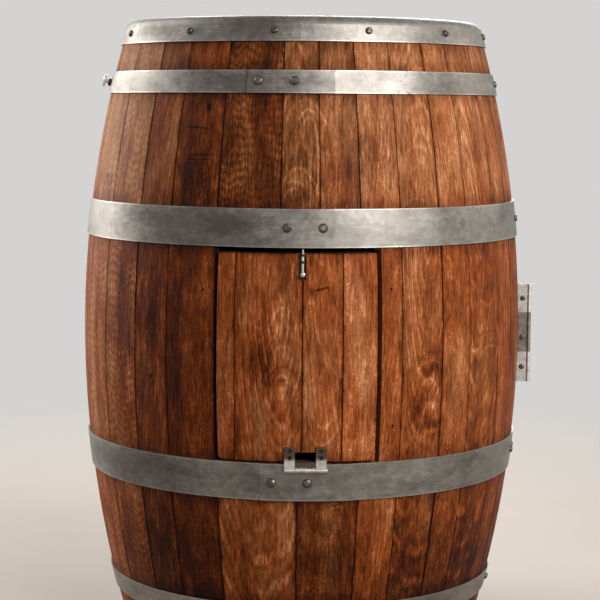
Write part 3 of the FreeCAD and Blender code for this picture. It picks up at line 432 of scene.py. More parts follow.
@dataclass(frozen=True)
class Layer:
    """A layer of noise: its steps for each unit across, out and along, the offset's axis, and its make-up."""

    across: float
    out: float
    along: float
    axis: Axis = Axis.OUT
    detail: float = 3.0
    rough: float = 0.6
    twist: float = 0.0

    def at(self, spot: Spot, slip: Value = 0.0) -> Signal:
        """The layer at a point.

        Args:
            spot: The point.
            slip: How many steps it is moved along the piece.

        Returns:
            The noise, about 0.
        """
        steps = [spot.across * self.across, spot.out * self.out, spot.along * self.along + slip]
        steps[self.axis.value] = steps[self.axis.value] + spot.offset
        return spot.bench.noise(spot.bench.point(*steps), self.detail, self.rough, self.twist)


# ---------------------------------------------------------------------------------------- oak


@dataclass(frozen=True)
class Log:
    """Where a board lay in its log, and what figure it shows.

    The pith's place is in millimetres from the middle of the board's face. It leans by a share of the length.
    Then come the width of a ring and how strongly rays, arches and curl show.
    """

    pith_across: float
    pith_depth: float
    lean_across: float
    lean_depth: float
    ring: float
    rays: float
    arches: float
    curl: float = 0.0


class Sawing(Enum):
    """How a board was cut from the log."""

    QUARTERED = Log(-210.0, -16.0, 0.010, 0.0, 3.4, 1.0, 0.65)
    RIFT = Log(-95.0, -120.0, 0.030, 0.05, 6.5, 0.6, 0.75)
    PLAIN = Log(6.0, -34.0, 0.012, 0.17, 8.6, 0.35, 1.0)
    FIGURED = Log(-210.0, -16.0, 0.010, 0.0, 4.6, 0.8, 0.8, 1.0)


@dataclass(frozen=True)
class Board:
    """One board: its edges in degrees, how it was sawn, how light and how yellow it is, its heart's shift."""

    start: float
    end: float
    sawing: Sawing = Sawing.QUARTERED
    tone: float = 0.0
    amber: float = 0.25
    heart: float = 0.0

    @property
    def middle(self) -> float:
        """Azimuth of the board's middle."""
        return (self.start + self.end) / 2


class MarkKind(Enum):
    """What a mark is: how much it changes the tone, and how sharp its edge is."""

    HOLE = (-0.9, 0.75)
    KNOT = (-0.45, 0.35)
    STAIN = (-0.22, 0.0)
    SHADE = (-0.13, 0.0)
    SMEAR = (0.13, 0.3)
    BRUISE = (-0.16, 0.3)
    SCRATCH = (-0.3, 0.4)


@dataclass(frozen=True)
class Mark:
    """A mark on the outer face: azimuth in degrees, height, half width and half height in mm, lean."""

    kind: MarkKind
    azimuth: float
    height: float
    wide: float
    tall: float
    lean: float = 0.0


@dataclass(frozen=True)
class Crown:
    """One ring that arches on a face: azimuth, height of its crown, half width and fall in mm, tone."""

    azimuth: float
    height: float
    wide: float
    fall: float
    tone: float


@dataclass(frozen=True)
class OakColours:
    """The stops of oak from its darkest pore to its palest ray, as (place, colour)."""

    stops: Stops


VARNISHED = OakColours(
    (
        (0.00, (0.010, 0.0022, 0.0008)),
        (0.20, (0.042, 0.0080, 0.0018)),
        (0.38, (0.115, 0.0240, 0.0040)),
        (0.56, (0.250, 0.0580, 0.0118)),
        (0.76, (0.440, 0.1280, 0.0400)),
        (1.00, (0.690, 0.3300, 0.1700)),
    )
)
AMBER = OakColours(
    (
        (0.00, (0.010, 0.0028, 0.0008)),
        (0.20, (0.042, 0.0108, 0.0018)),
        (0.38, (0.115, 0.0340, 0.0080)),
        (0.56, (0.248, 0.0860, 0.0280)),
        (0.76, (0.430, 0.1760, 0.0740)),
        (1.00, (0.680, 0.3600, 0.1700)),
    )
)
RAW = OakColours(
    (
        (0.00, (0.060, 0.030, 0.016)),
        (0.30, (0.190, 0.100, 0.050)),
        (0.55, (0.360, 0.215, 0.115)),
        (0.80, (0.520, 0.340, 0.190)),
        (1.00, (0.680, 0.480, 0.290)),
    )
)


@dataclass(frozen=True)
class Grain:
    """What one board's oak gives at a point: its tone, the height of its face and its share of pores."""

    tone: Signal
    height: Signal
    pores: Signal


# What each part of the figure adds to the oak's tone and to the height of its face.
TONE_SHARES = {
    "broad": 0.40, "cloud": 0.40, "streak": 0.24, "stroke": 0.42, "fibre": 0.34, "patch": 0.34,
    "strand": 0.10, "curl": 0.065, "early": 0.05, "arch": 0.24, "below": -0.12, "fleck": 0.20, "pores": -0.07,
}
HEIGHT_SHARES = {"fibre": 0.5, "stroke": 0.8, "early": 0.3, "fleck": 0.2, "curl": 0.4, "pores": -0.9}
LAYERS = {
    "broad": Layer(0.05, 0.05, 0.0060, Axis.ACROSS, twist=0.3),
    "cloud": Layer(0.085, 0.08, 0.034, twist=0.8),
    "streak": Layer(0.24, 0.2, 0.022),
    "stroke": Layer(0.36, 0.4, 0.075, Axis.ACROSS, 3.0, 0.65, 0.8),
    "fibre": Layer(1.0, 0.8, 0.15, detail=2.0),
    "patch": Layer(0.030, 0.02, 0.014, Axis.ALONG, 2.0, 0.5),
}


@dataclass(frozen=True)
class OakFigure:
    """The rings, rays, curl, strands and pores of oak. A pair gives the noise that a part fades in over."""

    drift: Layer = Layer(0.016, 0.02, 0.0028, Axis.ACROSS, 2.0, 0.5)
    wander: Layer = Layer(0.05, 0.05, 0.009, Axis.OUT, 3.0, 0.55)
    drift_across: float = 26.0
    drift_deep: float = 12.0
    wander_across: float = 7.0
    ring_waver: float = 0.8
    early_wood: Band = Band(0.0, 0.16, 0.45, 1.0)
    late_line: Band = Band(0.55, 0.74, 0.86, 1.0)
    shade_line: Band = Band(0.22, 0.44, 0.52, 0.66)
    line_patch: tuple[float, float] = (-0.12, 0.06)
    line_base: float = 0.60
    line_stroke: float = 1.8
    pore: Layer = Layer(1.9, 1.4, 0.16, Axis.OUT, 2.0, 0.5)
    pore_edge: tuple[float, float] = (0.02, 0.16)
    late_pores: float = 0.35
    ray: Layer = Layer(0.10, 0.05, 0.15, Axis.ACROSS, 2.0, 0.5, 2.2)
    ray_skew: float = 0.22
    ray_wander: float = 14.0
    ray_slip: float = 9.0
    ray_edge: tuple[float, float] = (0.0, 0.22)
    ray_patch: tuple[float, float] = (-0.06, 0.10)
    strand: Layer = Layer(0.46, 0.4, 0.036, Axis.OUT, 2.0, 0.6, 0.4)
    strand_slip: float = 2.0
    strand_edge: tuple[float, float] = (-0.09, 0.07)
    curl_along: float = 0.55
    curl_across: float = 0.13
    curl_bow: float = 2.0
    curl_drift: float = 8.0
    curl_wander: float = 20.0
    curl_patch: tuple[float, float] = (-0.14, 0.04)
    mean_tone: float = 0.0875

    def at(self, spot: Spot, log: dict[str, Value]) -> Grain:
        """Draw oak at a point of a board.

        Args:
            spot: The point.
            log: The board's place in its log, by the names of Log's fields.

        Returns:
            The oak at that point.
        """
        drift, wander = self.drift.at(spot), self.wander.at(spot)
        ring = self._ring(spot, log, drift, wander)
        parts = {name: layer.at(spot) for name, layer in LAYERS.items()}
        patch = parts["patch"]
        parts["early"] = self.early_wood.at(ring)
        late = self.late_pores + (1 - self.late_pores) * (1 - parts["early"])
        parts["pores"] = self.pore.at(spot).eased(*self.pore_edge) * late
        skewed = replace(spot, across=spot.across + spot.along * self.ray_skew + wander * self.ray_wander)
        rays = self.ray.at(skewed, drift * self.ray_slip).eased(*self.ray_edge)
        parts["fleck"] = rays * patch.eased(*self.ray_patch) * log["rays"]
        lines = self.line_base + parts["stroke"] * self.line_stroke
        lines = patch.eased(*self.line_patch) * lines * log["arches"]
        parts["arch"] = self.late_line.at(ring) * lines
        parts["below"] = self.shade_line.at(ring) * lines
        parts["strand"] = self.strand.at(spot, drift * self.strand_slip).eased(*self.strand_edge)
        parts["curl"] = self._curl(spot, drift, wander) * patch.eased(*self.curl_patch) * log["curl"]
        return Grain(weigh(parts, TONE_SHARES) - self.mean_tone, weigh(parts, HEIGHT_SHARES), parts["pores"])

    def _ring(self, spot: Spot, log: dict[str, Value], drift: Signal, wander: Signal) -> Signal:
        """Where a point lies in its year's ring.

        Args:
            spot: The point.
            log: The board's place in its log.
            drift: Slow bend of the rings.
            wander: Finer bend of the rings.

        Returns:
            0 at the ring's early wood to 1 at its end.
        """
        across = spot.across - log["pith_across"] - spot.along * log["lean_across"]
        across = across + drift * self.drift_across + wander * self.wander_across
        deep = spot.out - log["pith_depth"] - spot.along * log["lean_depth"] + drift * self.drift_deep
        return (span(across, deep) / log["ring"] + wander * self.ring_waver) % 1.0

    def _curl(self, spot: Spot, drift: Signal, wander: Signal) -> Signal:
        """Fine waves that cross a figured board in bows.

        Args:
            spot: The point.
            drift: Slow bend that shifts the bows.
            wander: Finer bend that shifts the waves.

        Returns:
            The wave, from -1 to 1.
        """
        bow = (spot.across * self.curl_across + drift * self.curl_drift).sine() * self.curl_bow
        return (spot.along * self.curl_along + wander * self.curl_wander + bow).sine()


# How far a board's place in its log may differ from its kind's: factors, and a shift in millimetres.
LAY_SPREAD = {
    "pith_depth": (0.8, 1.25),
    "lean_across": (0.4, 1.5),
    "lean_depth": (0.8, 1.3),
    "ring": (0.85, 1.2),
}
PITH_SHIFT = 12.0
# How strongly the joint at an azimuth shows, where it isn't the usual strength.
SEAM_STRENGTHS = {
    -88: 0.6, -74.3: 0.6, -58: 0.5, -44.5: 1.0, -33.8: 0.75, -20.5: 1.0, -15.3: 0.5, -4.5: 0.55, 1.1: 0.8,
    5.2: 0.55, 10.8: 0.7, 15.3: 0.7, 25.8: 0.4, 37.5: 1.0, 47: 0.4, 60.4: 0.45, 69.8: 1.0,
}


@dataclass(frozen=True)
class StaveOak:
    """Varnished oak of bent staves that stand round the cask, raw on the inside."""

    name: str
    boards: tuple[Board, ...]
    ends: tuple[float, ...] = ()
    marks: tuple[Mark, ...] = ()
    crowns: tuple[Crown, ...] = ()
    outside: OakColours = VARNISHED
    yellower: OakColours = AMBER
    inside: OakColours = RAW
    figure: OakFigure = OakFigure()
    foot_shade: Rise = Rise(310.0, 110.0, -0.17)
    head_light: Rise = Rise(580.0, 720.0, 0.08)
    head_amber: Rise = Rise(600.0, 720.0, 0.5)
    foot_amber: Rise = Rise(310.0, 150.0, -0.3)
    hue: Layer = Layer(0.03, 0.03, 0.006, Axis.ACROSS, 2.0, 0.5)
    hue_swing: float = 2.4
    raw_from: float = -3.0
    raw_to: float = -7.0
    raw_shift: float = -0.02
    rough: float = 0.56
    grime: float = 0.16
    grime_reach: float = 20.0
    grime_cloud: Layer = Layer(0.05, 0.0, 0.02)
    seam_line: Rise = Rise(1.7, 0.4, 0.36)
    seam_shade: Rise = Rise(6.0, 0.8, 0.10)
    seam_waver: float = 0.9
    seam_strength: float = 0.75
    end_line: Rise = Rise(1.3, 0.3, 0.3)
    end_shade: Rise = Rise(6.0, 0.8, 0.07)
    end_waver: float = 1.4
    mark_edge: float = 1.15
    mark_waver: float = 0.9
    crown_shift: float = 5.0
    crown_waver: float = 9.0
    crown_line: tuple[float, float] = (2.8, 0.6)
    crown_fade: tuple[float, float] = (1.25, 0.75)

    def make(self) -> bpy.types.Material:
        """Draw the material.

        Returns:
            The material, which reads the cask's own coordinates.
        """
        bench = Finish(self.name)
        front = (self.boards[0].start + self.boards[-1].end) / 2
        x, y, z = bench.place(front)
        angle = bench.azimuth(x, y) * DEGREES + front
        radius = span(x, y)
        local = (angle - self._by_board(angle, [b.middle for b in self.boards])) / DEGREES
        share = z * (2 / HEIGHT) - 1
        face = BULGE_RADIUS - share * share * END_DROP
        logs = [self._log(b) for b in self.boards]
        log = {key: self._by_board(angle, [one[key] for one in logs]) for key in logs[0]}
        seed = self._by_board(angle, [self._draw(b).uniform(3, 90) for b in self.boards])
        spot = Spot(bench, local.sine() * radius, local.cosine() * radius - face, z, seed)
        oak = self.figure.at(spot, log)
        seam = self._seams(angle, z, oak)
        tone = oak.tone + self._by_board(angle, [0.5 + b.tone for b in self.boards]) - seam
        tone = tone - self._grime(spot) * self.grime + self.foot_shade.at(z) + self.head_light.at(z)
        for mark in self.marks:
            tone = tone + self._mark(mark, angle, z, oak)
        for crown in self.crowns:
            tone = tone + self._crown(crown, angle, z, oak)
        inner = (radius - face).eased(self.raw_from, self.raw_to)
        hue = self.hue.at(spot) * self.hue_swing + self._by_board(angle, [b.amber for b in self.boards])
        hue = (hue + self.head_amber.at(z) + self.foot_amber.at(z)).eased(0.0, 1.0)
        red, amber = (bench.ramp(tone, colours.stops) for colours in (self.outside, self.yellower))
        raw = bench.ramp(tone + self.raw_shift, self.inside.stops)
        bench.dress(
            Base_Color=bench.blend(inner, bench.blend(hue, red, amber), raw),
            Roughness=self.rough + oak.height * 0.12 + oak.pores * 0.15 + inner * 0.2 + seam * 0.5,
            Coat_Weight=(1 - inner) * 0.02,
            Coat_Roughness=0.30,
            Specular_IOR_Level=0.07,
            Normal=bench.relief(oak.height, 0.50, 0.60),
        )
        return bench.material

    @staticmethod
    def _draw(board: Board) -> random.Random:
        """The board's own chance."""
        return random.Random(f"oak {board.start:.1f} {board.end:.1f}")

    def _log(self, board: Board) -> dict[str, float]:
        """The board's place in its log, a little different for each board.

        Args:
            board: The board.

        Returns:
            Its Log, by the names of the fields.
        """
        draw, cut = self._draw(board), board.sawing.value
        side = draw.choice((-1, 1))
        shift = draw.uniform(-PITH_SHIFT, PITH_SHIFT)
        spread = {name: draw.uniform(*ends) for name, ends in LAY_SPREAD.items()}
        log = replace(
            cut,
            pith_across=side * cut.pith_across + shift + board.heart,
            pith_depth=cut.pith_depth * spread["pith_depth"] - HEIGHT / 2 * cut.lean_depth,
            lean_across=side * cut.lean_across * spread["lean_across"],
            lean_depth=cut.lean_depth * spread["lean_depth"],
            ring=cut.ring * spread["ring"],
        )
        return asdict(log)

    def _by_board(self, angle: Signal, values: list[float]) -> Value:
        """The value of the board that the angle falls on.

        Args:
            angle: Azimuth in degrees.
            values: One value for each board.

        Returns:
            A plain number where there is one board, else a stepped signal.
        """
        chosen: Value = values[0]
        for board, before, after in zip(self.boards[1:], values, values[1:]):
            chosen = chosen + angle.over(board.start) * (after - before)
        return chosen

    def _seams(self, angle: Signal, z: Signal, oak: Grain) -> Signal:
        """How much the joints between boards and the board ends darken the oak.

        Args:
            angle: Azimuth in degrees.
            z: Height in millimetres.
            oak: The oak beside the seam, which makes its edge uneven.

        Returns:
            What is taken off the tone.
        """
        dark: Value = 0.0
        for edge in [b.start for b in self.boards] + [self.boards[-1].end]:
            gap = abs(angle - edge) * ARC_PER_DEGREE + oak.tone * self.seam_waver
            strength = SEAM_STRENGTHS.get(edge, self.seam_strength)
            dark = ((self.seam_line.at(gap) + self.seam_shade.at(gap)) * strength).most(dark)
        for end in self.ends:
            gap = abs(z - end) + oak.tone * self.end_waver
            dark = dark.most(self.end_line.at(gap) + self.end_shade.at(gap))
        return dark

    def _grime(self, spot: Spot) -> Signal:
        """Dark oxide and grime on the oak beside each hoop.

        Args:
            spot: The point of the stave.

        Returns:
            Its share, uneven along the hoops.
        """
        bench, stops = spot.bench, []
        edges = [edge for hoop in HOOP_SPANS.values() for edge in hoop][1:-1]
        for number, edge in enumerate(edges):
            away = self.grime_reach * (1 if number % 2 == 0 else -1)
            stops += [(edge / HEIGHT, (1, 1, 1)), ((edge + away) / HEIGHT, (0, 0, 0))]
        ramp = bench.ramp(spot.along / HEIGHT, tuple(sorted(stops)))
        amount = Signal(bench, bench.node("ShaderNodeRGBToBW", None, {0: ramp}).outputs[0])
        cloud = self.grime_cloud.at(replace(spot, offset=0.0))
        return amount * (0.8 + cloud * 1.8)

    def _mark(self, mark: Mark, angle: Signal, z: Signal, oak: Grain) -> Signal:
        """What one mark adds to the tone.

        Args:
            mark: The mark.
            angle: Azimuth in degrees.
            z: Height in millimetres.
            oak: The oak that it lies on, which breaks its edge.

        Returns:
            The change of tone.
        """
        depth, sharp = mark.kind.value
        aside = (angle - mark.azimuth) * ARC_PER_DEGREE
        above = z - mark.height
        tilt = math.radians(mark.lean)
        across = aside * math.cos(tilt) + above * math.sin(tilt)
        along = above * math.cos(tilt) - aside * math.sin(tilt)
        broken = span(across / mark.wide, along / mark.tall) + oak.tone * (self.mark_waver - sharp)
        return broken.eased(self.mark_edge, sharp) * depth

    def _crown(self, crown: Crown, angle: Signal, z: Signal, oak: Grain) -> Signal:
        """What one arched ring adds to the tone.

        Args:
            crown: The ring.
            angle: Azimuth in degrees.
            z: Height in millimetres.
            oak: The oak that it lies in, which makes it waver and fade.

        Returns:
            The change of tone along the ring.
        """
        share = ((angle - crown.azimuth) * ARC_PER_DEGREE + oak.tone * self.crown_shift) / crown.wide
        line = z - crown.height + share * share * crown.fall + oak.tone * self.crown_waver
        slope = share * (2 * crown.fall / crown.wide)
        away = abs(line) / (slope * slope + 1).root()
        band = away.eased(*self.crown_line) * abs(share).eased(*self.crown_fade)
        return band * (0.8 + oak.tone * 2) * crown.tone


@dataclass(frozen=True)
class PlankOak:
    """Oak of flat boards laid side by side."""

    name: str
    seams: tuple[float, ...] = ()
    face: float = 0.0
    colours: OakColours = RAW
    along_x: bool = False
    tone: float = 0.0
    varnish: float = 0.0
    rough: float = 0.62
    figure: OakFigure = OakFigure()
    cut: Log = replace(
        Sawing.RIFT.value, pith_depth=-60.0, lean_across=0.02, lean_depth=0.09, rays=0.3, arches=0.6
    )
    seam_line: Rise = Rise(1.4, 0.4, 0.5)
    no_seam: float = 99.0

    def make(self) -> bpy.types.Material:
        """Draw the material.

        Returns:
            The material, with a seam at each place that seams names.
        """
        bench = Finish(self.name)
        x, y, z = bench.place()
        across, along = (y, x) if self.along_x else (x, y)
        draw = random.Random(self.name)
        seed: Value = draw.uniform(2, 60)
        shift: Value = 0.0
        gap: Value = self.no_seam
        for seam in self.seams:
            step = across.over(seam)
            seed = step * draw.uniform(7, 31) + seed
            shift = step * draw.uniform(-0.12, 0.12) + shift
            gap = abs(across - seam).least(gap)
        oak = self.figure.at(Spot(bench, across, z - self.face, along, seed), asdict(self.cut))
        tone = oak.tone + shift + 0.5 + self.tone
        if self.seams:
            tone = tone - self.seam_line.at(gap)
        bench.dress(
            Base_Color=bench.ramp(tone, self.colours.stops),
            Roughness=self.rough + oak.height * 0.1,
            Coat_Weight=self.varnish,
            Coat_Roughness=0.4,
            Specular_IOR_Level=0.2,
            Normal=bench.relief(oak.height, 0.5, 0.5),
        )
        return bench.material


# ---------------------------------------------------------------------------------------- metal


@dataclass(frozen=True)
class StainAndShade:
    """A dark patch on a hoop, partly real stain and partly painted shade that dims the hoop's reflection:
    azimuth, height, half width and half height in mm, and how dark it is.
    """

    azimuth: float
    height: float
    wide: float
    tall: float
    strength: float


@dataclass(frozen=True)
class HoopSteel:
    """Weathered galvanised steel of a hoop that reaches from foot to head."""

    name: str
    foot: float
    head: float
    stains_and_shade: tuple[StainAndShade, ...] = ()
    dark: Colour = (0.076, 0.064, 0.053)
    pale: Colour = (0.395, 0.378, 0.352)
    # Colour of rust and grime, and also the colour of the painted shade in the dark patches.
    rust_and_shade: Colour = (0.034, 0.022, 0.016)
    middle: float = 0.42
    rough: float = 0.46
    cloud: Layer = Layer(0.012, 0.03, 0.0, Axis.ACROSS, 4.0, 0.6, 0.3)
    mottle: Layer = Layer(0.07, 0.10, 0.0, Axis.OUT, 4.0, 0.65, 0.4)
    brushed: Layer = Layer(0.02, 1.3, 0.0, Axis.ALONG)
    flakes: float = 0.16
    # Pale, glossier band along the hoop's edges: partly real wear, partly a painted highlight of the rounded
    # edge.
    worn_and_highlit_edge: tuple[float, float] = (2.2, 0.4)
    grime: Rise = Rise(0.16, 0.52, 0.6)
    stain_and_shade_edge: tuple[float, float] = (1.35, 0.2)

    def make(self) -> bpy.types.Material:
        """Draw the material.

        Returns:
            The material, which reads the hoop's own coordinates.
        """
        bench = Finish(self.name)
        x, y, z = bench.place()
        angle = bench.azimuth(x, y)
        seed = random.Random(self.name).uniform(5, 80)
        spot = Spot(bench, angle * BULGE_RADIUS, z, 0.0, seed)
        cloud, mottle, brushed = (layer.at(spot) for layer in (self.cloud, self.mottle, self.brushed))
        far, own = bench.cells(bench.point(spot.across * self.flakes + mottle * 2, z * self.flakes, seed))
        edge = abs(z - self.foot).least(abs(z - self.head))
        # Edges are painted paler and glossier: partly real wear, partly a painted highlight along the rounded
        # edge.
        wear_and_highlight = (edge + mottle * 2.5).eased(*self.worn_and_highlit_edge)
        tone = 0.5 + cloud * 0.85 + mottle * 0.45 + (own - 0.5) * 0.10 + brushed * 0.34 + wear_and_highlight * 0.22
        grime = self.grime.at(mottle * 1.3 + cloud * 1.2)
        # Dark patches: partly real stain, partly painted shade that dims the hoop's reflection.
        for dark_patch in self.stains_and_shade:
            aside = (angle * DEGREES - dark_patch.azimuth) * (ARC_PER_DEGREE / dark_patch.wide)
            away = span(aside, (z - dark_patch.height) / dark_patch.tall) + mottle * 1.1 + brushed * 0.8
            grime = grime.most(away.eased(*self.stain_and_shade_edge) * dark_patch.strength)
        steel = bench.ramp(tone, ((0.12, self.dark), (0.52, self._middle()), (0.9, self.pale)))
        bench.dress(
            Base_Color=bench.blend(grime, steel, self.rust_and_shade),
            Metallic=1 - grime * 0.75,
            Roughness=self.rough + mottle * 0.2 + grime * 0.2 - wear_and_highlight * 0.10 + brushed * 0.16,
            Normal=bench.relief(mottle * 0.5 + brushed * 0.35 + far * 0.15, 0.30, 0.45),
        )
        return bench.material

    def _middle(self) -> Colour:
        """Colour between the dark and the pale."""
        return tuple((1 - self.middle) * a + self.middle * b for a, b in zip(self.dark, self.pale))


@dataclass(frozen=True)
class FittingSteel:
    """Metal of a small fitting: its colours, roughness, size of grain in mm, share of dirt and of speckle."""

    name: str
    dark: Colour
    pale: Colour
    rough: float
    grain_size: float = 3.0
    grime: float = 0.4
    speckle: float = 1.0
    # Heights over which the metal darkens upwards: partly real tarnish, partly painted shade.
    tarnish: tuple[float, float] | None = None
    metallic: float = 1.0
    tarnish_and_shade_strength: float = 0.94
    # Colour of the dirt, and also the colour of the painted shade in the tarnish band.
    dirt_and_shade: Colour = (0.038, 0.020, 0.012)
    dirt_edge: tuple[float, float] = (0.10, 0.38)
    cloud: Layer = Layer(1.0, 1.0, 1.0, Axis.ACROSS, twist=0.4)
    fine: Layer = Layer(5.0, 5.0, 5.0)
    scratch: Layer = Layer(9.0, 9.0, 0.7, Axis.ALONG, 2.0, 0.5)

    def make(self) -> bpy.types.Material:
        """Draw the material.

        Returns:
            The material, scratched, a little dirty, and darkened upwards between the two heights of its
            tarnish band, which is partly real tarnish and partly painted shade.
        """
        bench = Finish(self.name)
        x, y, z = bench.place()
        seed = random.Random(self.name).uniform(5, 80)
        spot = Spot(bench, x / self.grain_size, y / self.grain_size, z / self.grain_size, seed)
        cloud, fine, scratch = (layer.at(spot) for layer in (self.cloud, self.fine, self.scratch))
        dirt_and_shade = (cloud + fine * 0.5).eased(*self.dirt_edge) * self.grime
        # The tarnish band paints shade over the upper part, on top of any real tarnish.
        if self.tarnish:
            dirt_and_shade = dirt_and_shade.most((z + cloud * 6).eased(*self.tarnish) * self.tarnish_and_shade_strength)
        tone = (0.5 + cloud * 1.2 + fine * (0.8 * self.speckle)).eased(0.05, 0.95)
        bench.dress(
            Base_Color=bench.blend(dirt_and_shade, bench.blend(tone, self.dark, self.pale), self.dirt_and_shade),
            Metallic=self.metallic - dirt_and_shade * 0.95,
            Roughness=self.rough + cloud * 0.16 + scratch * (0.14 * self.speckle) + dirt_and_shade * 0.3,
            Specular_IOR_Level=0.2,
            Normal=bench.relief(fine * 0.5 + scratch * 0.6, 0.10, 0.5 * self.speckle),
        )
        return bench.material


# ---------------------------------------------------------------------------------------- metalwork


def skin(height: float) -> float:
    """Outer radius of the staves at a height, in millimetres."""
    return BULGE_RADIUS - END_DROP * (2 * height / HEIGHT - 1) ** 2


def around(radius: float, azimuth: float, height: float) -> Vector:
    """Place in metres at a radius, an azimuth in degrees and a height, both sizes in millimetres."""
    turn = math.radians(azimuth)
    return Vector((radius * math.sin(turn), -radius * math.cos(turn), height)) * MM


def square_to_skin(azimuth: float, height: float) -> Vector:
    """Direction that looks squarely out of the bulge at an azimuth and a height."""
    slope = -4 * END_DROP * (2 * height / HEIGHT - 1) / HEIGHT
    return (around(1.0, azimuth, 0.0) - Vector((0, 0, slope * MM))).normalized()


def choose(piece: bpy.types.Object, wanted: Callable[[bmesh.types.BMFace], bool]) -> None:
    """Select a mesh's faces in edit mode.

    Args:
        piece: The object that is being edited.
        wanted: Says of a face whether it is selected.
    """
    mesh = bmesh.from_edit_mesh(piece.data)
    mesh.select_mode = {"FACE"}
    for face in mesh.faces:
        face.select_set(wanted(face))
    mesh.select_flush_mode()
    bmesh.update_edit_mesh(piece.data)


def looks_up(face: bmesh.types.BMFace) -> bool:
    """Whether a face looks straight up."""
    return face.normal.z > 0.9


def looks_down(face: bmesh.types.BMFace) -> bool:
    """Whether a face looks straight down."""
    return face.normal.z < -0.9


def turned_blank(radius: float, length: float, sides: int) -> bpy.types.Object:
    """Start a round piece with its foot at the origin, and leave it in edit mode.

    Args:
        radius: Its radius in millimetres.
        length: Its length in millimetres.
        sides: How many sides it has.

    Returns:
        The piece.
    """
    bpy.ops.object.select_all(action="DESELECT")
    middle = (0, 0, length / 2 * MM)
    bpy.ops.mesh.primitive_cylinder_add(
        vertices=sides, radius=radius * MM, depth=length * MM, location=middle
    )
    piece = bpy.context.object
    bpy.ops.object.transform_apply(location=True)
    bpy.ops.object.mode_set(mode="EDIT")
    return piece


@dataclass(frozen=True)
class SlottedScrew:
    """A round-headed, slotted screw, drawn upright with its seat at the origin, in millimetres."""

    radius: float
    height: float
    shank_radius: float
    shank: float
    slot: float = 1.3
    slot_depth: float = 0.5
    dome: float = 0.86
    dome_steps: int = 5
    sides: int = 32
    smooth_below: float = 32.0

    def model(self) -> bpy.types.Object:
        """Turn the head, cut its slot and draw out its shank.

        Returns:
            The screw, which is copied to each place.
        """
        screw = turned_blank(self.radius, self.height, self.sides)
        choose(screw, looks_up)
        bpy.ops.mesh.bevel(
            offset=self.height * self.dome * MM, segments=self.dome_steps, profile=0.5, clamp_overlap=True
        )
        choose(screw, looks_down)
        bpy.ops.mesh.inset(thickness=(self.radius - self.shank_radius) * MM, depth=0)
        bpy.ops.mesh.extrude_region_move(TRANSFORM_OT_translate={"value": (0, 0, -self.shank * MM)})
        half = self.slot / 2 * MM
        for side in (-half, half):
            bpy.ops.mesh.select_all(action="SELECT")
            bpy.ops.mesh.bisect(plane_co=(side, 0, 0), plane_no=(1, 0, 0))
        choose(screw, lambda face: abs(face.calc_center_median().x) < half and face.normal.z > 0.2)
        cut = -self.height * self.slot_depth * MM
        bpy.ops.mesh.extrude_region_move(TRANSFORM_OT_translate={"value": (0, 0, cut)})
        bpy.ops.object.mode_set(mode="OBJECT")
        bpy.ops.object.shade_smooth_by_angle(angle=math.radians(self.smooth_below))
        return screw


@dataclass(frozen=True)
class HexNut:
    """A six-sided nut with its foot at the origin: outer radius, length, bore and chamfer, in millimetres."""

    radius: float
    length: float
    bore: float
    chamfer: float = 0.5

    def model(self) -> bpy.types.Object:
        """Draw the nut and open its bore.

        Returns:
            The nut, which is copied to its place.
        """
        nut = turned_blank(self.radius, self.length, 6)
        choose(nut, lambda face: looks_up(face) or looks_down(face))
        bpy.ops.mesh.bevel(offset=self.chamfer * MM, segments=1)
        choose(nut, lambda face: looks_up(face) or looks_down(face))
        wall = (self.radius - self.bore) * math.cos(math.pi / 6) - self.chamfer
        bpy.ops.mesh.inset(thickness=wall * MM, depth=0)
        bpy.ops.mesh.bridge_edge_loops()
        bpy.ops.mesh.select_all(action="SELECT")
        bpy.ops.mesh.normals_make_consistent(inside=False)
        bpy.ops.object.mode_set(mode="OBJECT")
        bpy.ops.object.shade_flat()
        return nut


@dataclass
class Fitter:
    """Sets copies of a piece in their places and says what they ride on."""

    master: bpy.types.Object
    finish: bpy.types.Material
    slot: str

    def set_at(self, name: str, body: str, spot: Vector, way: Vector, spin: float) -> bpy.types.Object:
        """Copy the piece to a place.

        Args:
            name: Name of the copy.
            body: Body that it rides on.
            spot: Where its seat goes.
            way: Where its top looks.
            spin: Turn about its own axis, in radians.

        Returns:
            The copy, whose place is in its mesh.
        """
        twin = self.master.copy()
        twin.data = self.master.data.copy()
        twin.name = twin.data.name = name
        bpy.context.scene.collection.objects.link(twin)
        turn = way.to_track_quat("Z", "Y").to_matrix().to_4x4()
        twin.data.transform(Matrix.Translation(spot) @ turn @ Matrix.Rotation(spin, 4, "Z"))
        twin.data.materials.clear()
        twin.data.materials.append(self.finish)
        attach(twin, body)
        LOG.info("fitted %s", name)
        return twin

    def done(self) -> None:
        """Take the first piece away once its copies stand."""
        bpy.data.objects.remove(self.master)


# ---------------------------------------------------------------------------------------- sub-assemblies


@dataclass
class Frame:
    """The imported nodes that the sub-assemblies dress."""

    nodes: dict[str, bpy.types.Object]

    def dress(self, node: str, material: bpy.types.Material) -> None:
        """Give a node its material in every slot.

        Args:
            node: Name of the node.
            material: Its material.
        """
        for slot in self.nodes[node].material_slots:
            slot.material = material
        LOG.info("dressed %s", node)


